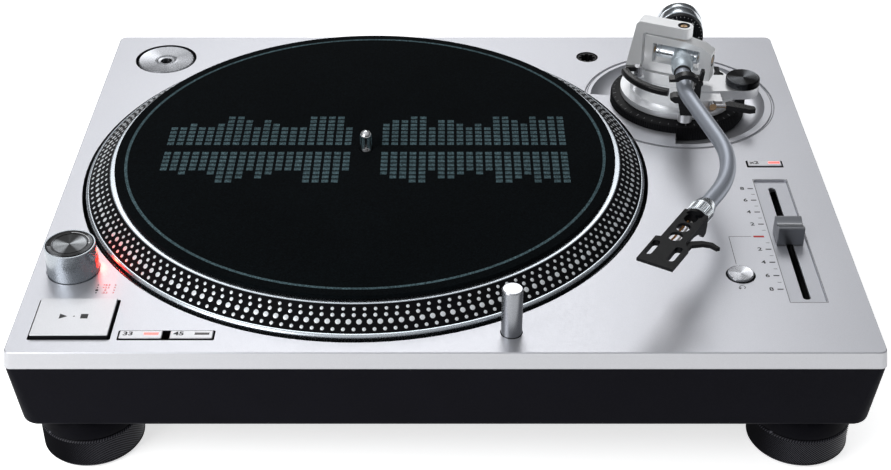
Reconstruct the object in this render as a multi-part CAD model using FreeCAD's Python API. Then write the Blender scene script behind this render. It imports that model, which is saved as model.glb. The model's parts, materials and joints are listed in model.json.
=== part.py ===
"""Direct-drive turntable record player.

Frame: +X to the player's right, +Y to the back, +Z up, millimetres. The origin is on the
surface that the feet stand on, under the middle of the chassis. The tonearm is parked in its
rest with the clip closed, and the target light is popped up.
"""
import FreeCAD, Part
import math
import os

V = FreeCAD.Vector
UP = V(0, 0, 1)

# ---- driving dimensions -------------------------------------------------------------------
WIDTH = 453.0               # chassis footprint, at the bottom edge of the aluminium band
DEPTH = 353.0
TOP_WIDTH = 450.3           # flat top face
TOP_DEPTH = 350.9
DECK_Z = 81.0               # top face above the floor
BAND_H = 9.7                # height of the aluminium band
BAND_Z = DECK_Z - BAND_H
DECK_T = 5.0
BASE_Z = 30.6               # underside of the black base
BASE_TAPER = 2.6
BASE_CORNER_R = 10.0        # corners of the base at its underside
BASE_WALL = 3.0
CORNER_R = 4.0

SPINDLE = V(-47.3, 1.3, 0)
SPINDLE_R = 3.55
HUB_PIN_R = 4.0             # stretch of the spindle inside the platter and mat
SHAFT_R = 5.0
WELL_R = 168.4
WELL_WALL = 2.0
WELL_FLOOR_Z = 60.0
WELL_FLOOR_T = 3.0
PLATTER_R = 166.0
PLATTER_TOP_Z = DECK_Z + 11.9
STROBE_IN_R = 150.8
STROBE_OUT_R = 164.0
STROBE_OUT_Z = DECK_Z + 2.3
MAT_R = 148.1
MAT_T = 2.7
SPINDLE_TIP_Z = DECK_Z + 26.8

MOTOR_PLATE_T = 2.5
STATOR_T = 1.6
COIL_H = 3.5
COIL_COUNT = 9
COIL_RING_R = 48.0
MAGNET_Z = 68.2
MAGNET_H = 6.3
YOKE_T = 3.0
YOKE_TOP_Z = MAGNET_Z + MAGNET_H + YOKE_T

FOOT_X = 193.3
FOOT_Y = 146.0
FOOT_R = 27.3
FOOT_TOP_Z = 18.6
PAD_T = 3.0
STUD_R = 5.0
FOOT_BOSS_Z = 49.0          # top of the bosses that take the foot studs

PIVOT = V(149.8, 86.5, 0)   # vertical axis of the tonearm
ARM_AXIS_Z = DECK_Z + 33.0  # tilt axis and tube axis
ARM_TURN = 5.0              # the tube leaves the bearing this far left of straight forward
GIMBAL_TURN = 24.0          # the bearing frames face this far left of straight forward
BEND_DIST = 48.0            # bearing to the first bend
MID_TURN = -12.5            # direction of the middle of the tube
LINE_TURN = 9.8             # pivot-to-stylus line
OFFSET = 21.5               # headshell offset angle
EFFECTIVE_L = 230.0
BEND_1_R = 60.0
BEND_2_R = 80.0
TUBE_R = 4.6
TUBE_WALL = 0.8

GAP = 0.4                   # running gap between parts that slide past each other

STEP_DIR = "parts"


# ---- small helpers ------------------------------------------------------------------------
def export(name, *solids):
    """Write one node; several solids stay separate inside it."""
    shape = solids[0] if len(solids) == 1 else Part.makeCompound(list(solids))
    shape.exportStep(f"{STEP_DIR}/{name}.step")


def cyl(centre, radius, z0, z1):
    return Part.makeCylinder(radius, z1 - z0, V(centre.x, centre.y, z0), UP)


def cone(centre, r0, r1, z0, z1):
    return Part.makeCone(r0, r1, z1 - z0, V(centre.x, centre.y, z0), UP)


def ring(centre, r_in, r_out, z0, z1):
    return cyl(centre, r_out, z0, z1).cut(cyl(centre, r_in, z0 - 1, z1 + 1))


def block(x0, x1, y0, y1, z0, z1):
    return Part.makeBox(x1 - x0, y1 - y0, z1 - z0, V(x0, y0, z0))


def slab(cx, cy, width, depth, z0, z1, radius=0.0):
    """Upright block with rounded corners."""
    shape = block(cx - width / 2, cx + width / 2, cy - depth / 2, cy + depth / 2, z0, z1)
    if radius > 0:
        shape = shape.makeFillet(radius, upright_edges(shape))
    return shape


def upright_edges(shape):
    """Straight edges that run mostly along Z."""
    found = []
    for edge in shape.Edges:
        a, b = edge.Vertexes[0].Point, edge.Vertexes[-1].Point
        if abs(b.z - a.z) > 0.9 * edge.Length and edge.Length > 0.1:
            found.append(edge)
    return found


def edges_at(shape, z, tol=0.01):
    """Edges that lie flat at one height."""
    found = []
    for edge in shape.Edges:
        box = edge.BoundBox
        if abs(box.ZMin - z) < tol and abs(box.ZMax - z) < tol:
            found.append(edge)
    return found


def rounded_wire(width, depth, radius, z):
    """Closed rectangle with round corners, centred on the origin."""
    hx, hy = width / 2 - radius, depth / 2 - radius
    edges = []
    for turn, (cx, cy) in enumerate([(hx, hy), (-hx, hy), (-hx, -hy), (hx, -hy)]):
        start = turn * math.pi / 2
        pts = [V(cx + radius * math.cos(start + step * math.pi / 4),
                 cy + radius * math.sin(start + step * math.pi / 4), z) for step in range(3)]
        edges.append(Part.Arc(*pts).toShape())
    joined = []
    for here, after in zip(edges, edges[1:] + edges[:1]):
        joined.append(here)
        joined.append(Part.LineSegment(here.Vertexes[-1].Point, after.Vertexes[0].Point).toShape())
    return Part.Wire(joined)


def flared(width0, depth0, z0, width1, depth1, z1, radius0=CORNER_R, radius1=CORNER_R):
    return Part.makeLoft([rounded_wire(width0, depth0, radius0, z0),
                          rounded_wire(width1, depth1, radius1, z1)], True, True)


def turned(centre, profile, degrees=360.0, start=0.0):
    """Solid of revolution about the vertical through centre; profile is (radius, z) points."""
    pts = [V(r, 0, z) for r, z in profile]
    face = Part.Face(Part.makePolygon(pts + pts[:1]))
    solid = face.revolve(V(0, 0, 0), UP, degrees)
    solid.rotate(V(0, 0, 0), UP, start)
    solid.translate(V(centre.x, centre.y, 0))
    return solid


def heading(turn):
    """Level unit vector, turn degrees to the left of straight forward (-Y)."""
    a = math.radians(turn)
    return V(-math.sin(a), -math.cos(a), 0)


def rod(start, end, radius):
    axis = end - start
    return Part.makeCylinder(radius, axis.Length, start, axis)


def frustum(start, end, r0, r1):
    axis = end - start
    return Part.makeCone(r0, r1, axis.Length, start, axis)


class Local:
    """A level frame: forward along a heading, right to its right, at a point."""

    def __init__(self, origin, turn):
        self.origin = origin
        self.forward = heading(turn)
        self.right = V(-self.forward.y, self.forward.x, 0)

    def at(self, forward, right, z):
        p = self.origin + self.forward * forward + self.right * right
        return V(p.x, p.y, z)

    def plate_xz(self, outline, f0, f1):
        """Extrude an outline of (right, z) points from forward distance f0 to f1."""
        pts = [self.at(f0, r, z) for r, z in outline]
        face = Part.Face(Part.makePolygon(pts + pts[:1]))
        return face.extrude(self.forward * (f1 - f0))

    def plate_xy(self, outline, z0, z1):
        """Extrude an outline of (forward, right) points upward."""
        pts = [self.at(f, r, z0) for f, r in outline]
        face = Part.Face(Part.makePolygon(pts + pts[:1]))
        return face.extrude(V(0, 0, z1 - z0))

    def plate_fz(self, outline, r0, r1):
        """Extrude an outline of (forward, z) points from right distance r0 to r1."""
        pts = [self.at(f, r0, z) for f, z in outline]
        face = Part.Face(Part.makePolygon(pts + pts[:1]))
        return face.extrude(self.right * (r1 - r0))

    def oblong(self, f0, f1, right, radius, z0, z1):
        """Upright oblong with round ends centred at f0 and f1, for slots."""
        corners = [self.at(f0, right - radius, z0), self.at(f1, right - radius, z0),
                   self.at(f1, right + radius, z0), self.at(f0, right + radius, z0)]
        edges = [Part.LineSegment(corners[0], corners[1]).toShape(),
                 Part.Arc(corners[1], self.at(f1 + radius, right, z0), corners[2]).toShape(),
                 Part.LineSegment(corners[2], corners[3]).toShape(),
                 Part.Arc(corners[3], self.at(f0 - radius, right, z0), corners[0]).toShape()]
        return Part.Face(Part.Wire(edges)).extrude(V(0, 0, z1 - z0))

    def box(self, f0, f1, r0, r1, z0, z1):
        return self.plate_xy([(f0, r0), (f1, r0), (f1, r1), (f0, r1)], z0, z1)


def fuse(first, *others):
    shape = first
    for other in others:
        shape = shape.fuse(other)
    return shape.removeSplitter()


# ---- places of the controls ---------------------------------------------------------------
KNOB = V(-203.3, -102.4, 0)
KNOB_R = 14.2
KNOB_TOP_Z = DECK_Z + 17.0
START_STOP = V(-193.9, -147.6, 0)
START_STOP_SIZE = (40.5, 31.9)
SPEED_Y = -161.0
SPEED_SIZE = (22.2, 6.4)
SPEED_X = {"button_33": -157.1, "button_45": -130.9}
DOUBLE_BUTTON = V(193.0, 7.2, 0)
DOUBLE_SIZE = (20.2, 6.0)
RESET = V(160.6, -107.6, 0)
RESET_R = 7.2
BUTTON_GAP = 0.9
TARGET = V(34.1, -158.3, 0)
TARGET_R = 5.5
TARGET_TOP_Z = DECK_Z + 28.0
TARGET_L = 40.0
ADAPTER = V(-189.2, 142.9, 0)
ADAPTER_R = 19.05
ADAPTER_POCKET_R = 20.4
ADAPTER_H = 9.0
SOCKET = V(96.1, 145.7, 0)
SOCKET_R = 6.5
PITCH_X = 193.1
PITCH_Y0, PITCH_Y1 = -132.4, -10.5
PITCH_W = 19.6
PITCH_DROP = 1.3
PANEL_T = 1.5
SLOT_Y0, SLOT_Y1 = -128.3, -17.4
SLOT_W = 4.0
SLIDER_Y = -70.6
ARM_RING = V(150.8, 86.0, 0)
ARM_RING_R = 60.1
HEIGHT_RING_R = 43.0
ARM_WELL_Z = DECK_Z - 6.0


# ---- chassis ------------------------------------------------------------------------------
def well_solid():
    floor_bottom = WELL_FLOOR_Z - WELL_FLOOR_T
    return cyl(SPINDLE, WELL_R + WELL_WALL, floor_bottom, DECK_Z - DECK_T + 1)


def finger_recess():
    """Dished C-shaped hollow round the height ring, open to the front, right and back."""
    profile = [(HEIGHT_RING_R - 6, DECK_Z + 2), (HEIGHT_RING_R - 6, ARM_WELL_Z), (49.0, ARM_WELL_Z + 0.6),
               (53.0, ARM_WELL_Z + 2.4), (55.6, DECK_Z - 0.6), (56.0, DECK_Z), (56.0, DECK_Z + 2)]
    return turned(PIVOT, profile, 270.0, -98.0)


def top_panel():
    panel = flared(WIDTH, DEPTH, BAND_Z, TOP_WIDTH, TOP_DEPTH, DECK_Z)
    panel = panel.makeChamfer(0.5, edges_at(panel, DECK_Z))
    inside = slab(0, 0, WIDTH - 12, DEPTH - 12, BAND_Z - 1, DECK_Z - DECK_T, 3.0)
    panel = panel.cut(inside)
    target_sleeve = cyl(TARGET, 8.0, 62.0, DECK_Z - DECK_T)
    adapter_boss = cyl(ADAPTER, 23.0, DECK_Z - ADAPTER_H - 3.0, DECK_Z - DECK_T)
    arm_boss = cyl(PIVOT, 62.0, 69.0, DECK_Z - DECK_T)
    arm_boss = arm_boss.common(block(0, WIDTH / 2 - 6, 0, DEPTH / 2 - 6, 60, 80))
    panel = fuse(panel, well_solid(), target_sleeve, adapter_boss, arm_boss)
    panel = panel.cut(cyl(SPINDLE, WELL_R, WELL_FLOOR_Z, DECK_Z + 1))
    panel = panel.cut(cyl(SPINDLE, 45.0, 50, WELL_FLOOR_Z + 1))
    cuts = [cyl(TARGET, TARGET_R + GAP, 60, DECK_Z + 1),
            cyl(ADAPTER, ADAPTER_POCKET_R, DECK_Z - ADAPTER_H, DECK_Z + 1),
            cyl(SOCKET, SOCKET_R, 60, DECK_Z + 1),
            cone(SOCKET, SOCKET_R, SOCKET_R + 0.9, DECK_Z - 0.8, DECK_Z + 0.1),
            cyl(KNOB, KNOB_R + 0.5, DECK_Z - 1.2, DECK_Z + 1),
            cyl(KNOB, 9.0, 60, DECK_Z),
            cyl(RESET, RESET_R + BUTTON_GAP, 60, DECK_Z + 1),
            cyl(PIVOT, HEIGHT_RING_R + GAP, ARM_WELL_Z, DECK_Z + 1),
            cyl(PIVOT, 20.0, 60, DECK_Z),
            ring(ARM_RING, ARM_RING_R - 0.5, ARM_RING_R + 0.5, DECK_Z - 0.7, DECK_Z + 1),
            finger_recess()]
    start_w, start_d = START_STOP_SIZE
    cuts.append(slab(START_STOP.x, START_STOP.y, start_w + 2.4, start_d + 2.4, 60, DECK_Z + 1, 0.8))
    speed_mid = sum(SPEED_X.values()) / 2
    speed_w = SPEED_X["button_45"] - SPEED_X["button_33"] + SPEED_SIZE[0] + 2 * BUTTON_GAP
    cuts.append(slab(speed_mid, SPEED_Y, speed_w, SPEED_SIZE[1] + 2 * BUTTON_GAP, 60, DECK_Z + 1, 0.8))
    cuts.append(slab(DOUBLE_BUTTON.x, DOUBLE_BUTTON.y, DOUBLE_SIZE[0] + 2 * BUTTON_GAP,
                     DOUBLE_SIZE[1] + 2 * BUTTON_GAP, 60, DECK_Z + 1, 0.8))
    pitch_mid = (PITCH_Y0 + PITCH_Y1) / 2
    pocket_z = DECK_Z - PITCH_DROP - PANEL_T
    cuts.append(slab(PITCH_X, pitch_mid, PITCH_W, PITCH_Y1 - PITCH_Y0, pocket_z, DECK_Z + 1, 1.5))
    cuts.append(block(PITCH_X - 4, PITCH_X + 4, SLOT_Y0 - 1, SLOT_Y1 + 1, 60, pocket_z + 1))
    for cut in cuts:
        panel = panel.cut(cut)
    return panel


def base_outer():
    """Outside of the black base: sides lean in, bottom edges rounded."""
    solid = flared(WIDTH - 2 * BASE_TAPER, DEPTH - 2 * BASE_TAPER, BASE_Z, WIDTH - 0.6, DEPTH - 0.6, BAND_Z,
                   BASE_CORNER_R)
    return solid.makeFillet(3.0, edges_at(solid, BASE_Z))


COVER_SIZE = (300.0, 240.0)
COVER_T = 2.0
BASE_FLOOR_T = 4.0
REAR_Y = 174.6              # outside face of the rear fittings
INLET = {"x": -187.0, "z": 54.0, "w": 30.0, "h": 24.0, "deep": 16.0}
TERMINALS = {"x": 176.0, "z": 53.0, "w": 66.0, "h": 24.0, "deep": 12.0}
JACK_X = (160.0, 174.0)
GROUND_X = 196.0


def rear_block(place, y_out=REAR_Y):
    """Block through the rear wall for a fitting, or for its hole when it runs further out."""
    w, h = place["w"] / 2, place["h"] / 2
    return block(place["x"] - w, place["x"] + w, REAR_Y - place["deep"], y_out,
                 place["z"] - h, place["z"] + h)


def foot_places():
    return {f"{side_y}_{side_x}": V(x, y, 0)
            for side_y, y in (("front", -FOOT_Y), ("rear", FOOT_Y))
            for side_x, x in (("left", -FOOT_X), ("right", FOOT_X))}


def base_cabinet():
    base = base_outer()
    lower = (WIDTH - 2 * BASE_TAPER - 2 * BASE_WALL, DEPTH - 2 * BASE_TAPER - 2 * BASE_WALL)
    upper = (WIDTH - 0.6 - 2 * BASE_WALL, DEPTH - 0.6 - 2 * BASE_WALL)
    base = base.cut(flared(*lower, BASE_Z + BASE_FLOOR_T, *upper, BAND_Z + 0.01, BASE_CORNER_R - 2))
    base = base.cut(slab(0, 0, COVER_SIZE[0] - 16, COVER_SIZE[1] - 16, 30, BASE_Z + 10, 4.0))
    base = base.cut(slab(0, 0, COVER_SIZE[0] + 1, COVER_SIZE[1] + 1, 30, BASE_Z + COVER_T, 4.0))
    for place in foot_places().values():
        base = base.fuse(cyl(place, 12.0, BASE_Z + BASE_FLOOR_T - 1, FOOT_BOSS_Z))
        base = base.cut(cyl(place, STUD_R + GAP, 30, FOOT_BOSS_Z - 1.6))
    for place in (INLET, TERMINALS):
        base = base.cut(rear_block(place, DEPTH / 2 + 2))
    return base.removeSplitter()


def bottom_cover():
    plate = slab(0, 0, COVER_SIZE[0], COVER_SIZE[1], BASE_Z, BASE_Z + COVER_T, 4.0)
    for place in cover_screw_places():
        plate = plate.cut(cyl(place, 1.6, 30, 40))
    for row in range(9):
        plate = plate.cut(slab(-60, -64 + 16 * row, 60, 4, 30, 40, 1.9))
    return plate


def cover_screw_places():
    half_x, half_y = COVER_SIZE[0] / 2 - 4, COVER_SIZE[1] / 2 - 4
    return [V(x, y, 0) for x in (-half_x, 0, half_x) for y in (-half_y, half_y)]


def cover_screws():
    """Pan heads under the cover, shanks up into the rim of the base floor."""
    return [fuse(cyl(p, 3.0, BASE_Z - 1.6, BASE_Z), cyl(p, 1.5, BASE_Z - 0.1, BASE_Z + COVER_T))
            for p in cover_screw_places()]


def foot_collar(place):
    profile = [(STUD_R + GAP, BASE_Z), (20.5, BASE_Z), (23.0, 29.0), (26.3, 22.0), (26.9, FOOT_TOP_Z + 0.8),
               (STUD_R + GAP, FOOT_TOP_Z + 0.8)]
    return turned(place, profile)


def foot(place):
    body = turned(place, [(0, PAD_T + GAP), (25.4, PAD_T + GAP), (25.4, 1.0), (26.3, 1.0), (FOOT_R, 2.2),
                          (FOOT_R, FOOT_TOP_Z - 1.0), (26.3, FOOT_TOP_Z), (0, FOOT_TOP_Z)])
    return fuse(body, cyl(place, STUD_R, FOOT_TOP_Z - 0.5, 46.0))


def foot_pad(place):
    return cyl(place, 25.0, 0.0, PAD_T)


# ---- drive --------------------------------------------------------------------------------
def platter():
    rim_in = PLATTER_R - 6
    deck_under = PLATTER_TOP_Z - 6
    profile = [(HUB_PIN_R + 0.03, YOKE_TOP_Z), (26.0, YOKE_TOP_Z), (26.0, deck_under), (146.0, deck_under),
               (157.0, 80.0), (rim_in, 77.5), (rim_in, 66.0), (PLATTER_R, 66.0), (PLATTER_R, 81.9),
               (PLATTER_R - 0.5, 82.8), (PLATTER_R - 1.2, STROBE_OUT_Z), (STROBE_OUT_R, STROBE_OUT_Z),
               (STROBE_IN_R, PLATTER_TOP_Z), (HUB_PIN_R + 0.03, PLATTER_TOP_Z)]
    return turned(SPINDLE, profile)


def platter_damper():
    top = PLATTER_TOP_Z - 6
    return ring(SPINDLE, 72.0, 144.0, top - 3.0, top)


def slipmat():
    return ring(SPINDLE, HUB_PIN_R + 0.2, MAT_R, PLATTER_TOP_Z, PLATTER_TOP_Z + MAT_T)


def rotor_yoke():
    skirt = ring(SPINDLE, 61.0, 64.0, MAGNET_Z - 1.5, YOKE_TOP_Z)
    disc = ring(SPINDLE, SHAFT_R, 62.0, YOKE_TOP_Z - YOKE_T, YOKE_TOP_Z)
    return fuse(skirt, disc)


def rotor_magnet():
    return ring(SPINDLE, 36.0, 61.0, MAGNET_Z, MAGNET_Z + MAGNET_H)


def spindle():
    """Motor shaft, hub pin through the platter and mat, and the domed pin that takes a record."""
    tip = SPINDLE_TIP_Z - SPINDLE_R
    mat_top = PLATTER_TOP_Z + MAT_T
    profile = [(0, 43.0), (SHAFT_R, 43.0), (SHAFT_R, YOKE_TOP_Z), (HUB_PIN_R, YOKE_TOP_Z),
               (HUB_PIN_R, mat_top - 0.5), (SPINDLE_R, mat_top + 0.1), (SPINDLE_R, tip), (0, tip)]
    return fuse(turned(SPINDLE, profile), Part.makeSphere(SPINDLE_R, V(SPINDLE.x, SPINDLE.y, tip)))


def motor_plate():
    return ring(SPINDLE, 11.0, 80.0, WELL_FLOOR_Z, WELL_FLOOR_Z + MOTOR_PLATE_T)


def stator():
    z = WELL_FLOOR_Z + MOTOR_PLATE_T
    solids = [ring(SPINDLE, 14.0, 72.0, z, z + STATOR_T)]
    for index in range(COIL_COUNT):
        a = 2 * math.pi * index / COIL_COUNT
        place = SPINDLE + V(math.cos(a), math.sin(a), 0) * COIL_RING_R
        solids.append(ring(place, 5.0, 13.0, z + STATOR_T, z + STATOR_T + COIL_H))
    return solids


def bearing_housing():
    flange = cyl(SPINDLE, 24.0, WELL_FLOOR_Z - 3, WELL_FLOOR_Z)
    tube = cyl(SPINDLE, 11.0, 40.0, 72.0)
    return fuse(flange, tube).cut(cyl(SPINDLE, SHAFT_R + 0.04, 42.8, 80))


# ---- electronics in the base --------------------------------------------------------------
def circuit_boards():
    """Power board, control board and switch board, each with its larger components."""
    z = 44.0
    power = fuse(slab(-170, 60, 70, 110, z, z + 1.6, 2), slab(-170, 30, 34, 30, z + 1.5, z + 11.6, 1.5),
                 cyl(V(-155, 80, 0), 7.0, z + 1.5, z + 11), cyl(V(-180, 82, 0), 5.0, z + 1.5, z + 10))
    control = fuse(slab(100, -50, 90, 70, z, z + 1.6, 2), slab(100, -50, 14, 14, z + 1.5, z + 3.2, 1),
                   slab(128, -40, 10, 20, z + 1.5, z + 7, 1))
    switches = slab(-170, -148, 92, 38, z + 6, z + 7.6, 2)
    caps = [cyl(START_STOP, 4.0, z + 7.5, 72.4)]
    caps += [cyl(V(x, SPEED_Y, 0), 2.5, z + 7.5, 72.8) for x in SPEED_X.values()]
    return [power, control, fuse(switches, *caps)]


def pitch_fader():
    mid = (SLOT_Y0 + SLOT_Y1) / 2
    body = block(PITCH_X - 8, PITCH_X + 8, SLOT_Y0 - 6, SLOT_Y1 + 6, 56, 70)
    channel = block(PITCH_X - 3, PITCH_X + 3, SLOT_Y0, SLOT_Y1, 59, 71)
    board = slab(PITCH_X, mid, 24, 130, 54.4, 56, 2)
    return fuse(body.cut(channel), board)


def ac_inlet():
    body = rear_block(INLET)
    cavity = block(INLET["x"] - 12.5, INLET["x"] + 12.5, REAR_Y - 13, REAR_Y + 1,
                   INLET["z"] - 8.5, INLET["z"] + 8.5)
    body = body.cut(cavity)
    for dx, dz in ((-7, -2), (0, 3), (7, -2)):
        x, z = INLET["x"] + dx, INLET["z"] + dz
        body = body.fuse(block(x - 1, x + 1, REAR_Y - 14, REAR_Y - 3, z - 2, z + 2))
    return body.removeSplitter()


def terminal_cup():
    body = rear_block(TERMINALS)
    w, h = TERMINALS["w"] / 2 - 2, TERMINALS["h"] / 2 - 2
    x, z = TERMINALS["x"], TERMINALS["z"]
    return body.cut(block(x - w, x + w, REAR_Y - 10, REAR_Y + 1, z - h, z + h))


def phono_terminals():
    """Left and right phono jacks and the ground screw, on the floor of the cup."""
    y = REAR_Y - 10
    solids = []
    for x in JACK_X:
        base = V(x, y, TERMINALS["z"])
        out = base + V(0, 9.0, 0)
        barrel = fuse(rod(base, base + V(0, 2, 0), 5.5), rod(base, out, 4.1))
        solids.append(barrel.cut(rod(base + V(0, 3, 0), out + V(0, 1, 0), 1.7)))
    post = V(GROUND_X, y, TERMINALS["z"])
    solids.append(fuse(rod(post, post + V(0, 3.5, 0), 2.0), rod(post + V(0, 3, 0), post + V(0, 9, 0), 4.5)))
    return solids


# ---- controls -----------------------------------------------------------------------------
def strobe_housing():
    """Silver pod; the power knob turns in its top and the lamp looks out at the platter."""
    pod = cone(KNOB, KNOB_R, KNOB_R - 0.4, DECK_Z - 1.2, KNOB_TOP_Z)
    pod = pod.cut(cyl(KNOB, 13.0, KNOB_TOP_Z - 5, KNOB_TOP_Z + 1))
    pod = pod.cut(cyl(KNOB, 3.2, DECK_Z - 5, KNOB_TOP_Z))
    pod = pod.cut(cyl(KNOB, 12.0, DECK_Z - 5, DECK_Z + 9.5))
    return pod.cut(window_block())


WINDOW_TURN = math.degrees(math.atan2(SPINDLE.y - KNOB.y, SPINDLE.x - KNOB.x))


def window_block():
    """Radial block through the pod wall on the side that faces the platter."""
    shape = block(10.0, KNOB_R + 1, -3.6, 3.6, DECK_Z + 3.0, DECK_Z + 8.6)
    shape.rotate(V(0, 0, 0), UP, WINDOW_TURN)
    shape.translate(V(KNOB.x, KNOB.y, 0))
    return shape


def strobe_window():
    wall = ring(KNOB, KNOB_R - 1.6, KNOB_R - 0.4, DECK_Z, DECK_Z + 10)
    return wall.common(window_block())


def power_knob():
    disc = cyl(KNOB, 12.7, KNOB_TOP_Z - 4.6, KNOB_TOP_Z + 0.2)
    disc = disc.makeChamfer(0.4, edges_at(disc, KNOB_TOP_Z + 0.2))
    return fuse(disc, cyl(KNOB, 2.9, DECK_Z - 4, KNOB_TOP_Z - 4))


def push_button(place, size, proud, depth):
    top = DECK_Z + proud
    shape = slab(place.x, place.y, size[0], size[1], top - depth, top, 0.7)
    return shape.makeChamfer(0.35, edges_at(shape, top))


def reset_button():
    top = DECK_Z + 1.7
    shape = cyl(RESET, RESET_R, top - 9, top)
    return shape.makeChamfer(0.4, edges_at(shape, top))


def target_light():
    """Pop-up lamp; its lens looks at the stylus from just under the cap."""
    shape = cyl(TARGET, TARGET_R, TARGET_TOP_Z - TARGET_L, TARGET_TOP_Z)
    shape = shape.makeChamfer(0.6, edges_at(shape, TARGET_TOP_Z))
    lens = block(TARGET.x - 2.5, TARGET.x + 2.5, TARGET.y + TARGET_R - 1.2, TARGET.y + TARGET_R + 1,
                 TARGET_TOP_Z - 8, TARGET_TOP_Z - 3)
    return shape.cut(lens)


def pitch_panel():
    z0 = DECK_Z - PITCH_DROP - PANEL_T
    mid = (PITCH_Y0 + PITCH_Y1) / 2
    plate = slab(PITCH_X, mid, PITCH_W, PITCH_Y1 - PITCH_Y0, z0, z0 + PANEL_T, 1.5)
    slot = slab(PITCH_X, (SLOT_Y0 + SLOT_Y1) / 2, SLOT_W, SLOT_Y1 - SLOT_Y0,
                z0 - 1, DECK_Z, SLOT_W / 2 - 0.05)
    return plate.cut(slot)


def pitch_slider():
    """Finger-grooved cap on a flat stem that runs in the fader."""
    z0 = DECK_Z - PITCH_DROP + GAP
    z1 = DECK_Z + 10.0
    half = 7.2
    hollow_r = 9.0
    side = [(half, z0), (half - 0.6, z1 - 0.4), (half - 1.2, z1)]
    outline = [V(0, SLIDER_Y - dy, z) for dy, z in side]
    outline += [V(0, SLIDER_Y + dy, z) for dy, z in reversed(side)]
    face = Part.Face(Part.makePolygon(outline + outline[:1]))
    face.translate(V(PITCH_X - 7.4, 0, 0))
    cap = face.extrude(V(14.8, 0, 0))
    groove_z = z1 + math.sqrt(hollow_r ** 2 - 5.0 ** 2)
    groove = rod(V(PITCH_X - 9, SLIDER_Y, groove_z), V(PITCH_X + 9, SLIDER_Y, groove_z), hollow_r)
    stem = block(PITCH_X - 1.4, PITCH_X + 1.4, SLIDER_Y - 2.4, SLIDER_Y + 2.4, 62, z0 + 1)
    return fuse(cap.cut(groove), stem)


def adapter_45():
    z0 = DECK_Z - ADAPTER_H + 0.2
    profile = [(3.62, z0), (ADAPTER_R - 1, z0), (ADAPTER_R, z0 + 1), (ADAPTER_R, DECK_Z - 0.8),
               (ADAPTER_R - 0.8, DECK_Z), (6.6, DECK_Z - 0.7), (5.6, DECK_Z - 1.2), (3.62, DECK_Z - 1.2)]
    return turned(ADAPTER, profile)


def headshell_socket():
    """Holder for a spare headshell: a four-lobed hole takes the connector and its key."""
    body = cyl(SOCKET, SOCKET_R, 64.0, DECK_Z - 0.5)
    hole = cyl(SOCKET, 4.1, 67.0, DECK_Z + 1)
    for index in range(4):
        lobe = block(-5.4, 5.4, -1.2, 1.2, 67.0, DECK_Z + 1)
        lobe.rotate(V(0, 0, 0), UP, 45.0 * index)
        lobe.translate(V(SOCKET.x, SOCKET.y, 0))
        hole = hole.fuse(lobe)
    return body.cut(hole)


# ---- tonearm ------------------------------------------------------------------------------
FRAMES = Local(PIVOT, GIMBAL_TURN)
ARM = Local(PIVOT, ARM_TURN)
STYLUS = PIVOT + heading(LINE_TURN) * EFFECTIVE_L
SHELL = Local(STYLUS, LINE_TURN + OFFSET)
DISC_TOP_Z = DECK_Z + 10.0
TIER_TOP_Z = DECK_Z + 11.5
KNOB_BAR_Z = DECK_Z + 15.7
SKATE = PIVOT + V(39.7, -6.1, 0)
SKATE_R = 10.7
CUE_AXIS = PIVOT + V(17.5, -28.0, DECK_Z + 13.0)
LIFTER_MID_R = 36.5
LIFTER_Z = DECK_Z + 22.5
LIFTER_H = 4.3
LIFT_SHAFT = PIVOT + V(-27.0, -2.0, 0)
HEIGHT_LOCK = PIVOT + V(27.0, 9.6, 0)
REST_F0, REST_F1 = 40.0, 47.0
CLIP_PIN = (8.9, DECK_Z + 38.4)     # (right, z) of the clip's hinge in the ARM frame
FERRULE_F = 25.0
SHELL_FRONT = 10.0          # head plate, along the arm from the stylus point
SHELL_REAR = -45.0
SHELL_HALF = 6.8
SHELL_TOP_Z = DECK_Z + 37.0
SHELL_T = 1.8
SLOT_PITCH = 12.7           # cartridge screw spacing
COLLAR_REAR = -59.5
WEIGHT_F = -24.6            # front face of the force dial, behind the pivot
DIAL_T = 4.6
WEIGHT_R = 15.3
WEIGHT_L = 20.0


def height_ring():
    profile = [(33.0, ARM_WELL_Z + GAP), (HEIGHT_RING_R, ARM_WELL_Z + GAP), (HEIGHT_RING_R, DECK_Z + 4.6),
               (HEIGHT_RING_R - 1.2, DECK_Z + 6.0), (33.0, DECK_Z + 6.0)]
    return turned(PIVOT, profile)


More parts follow.
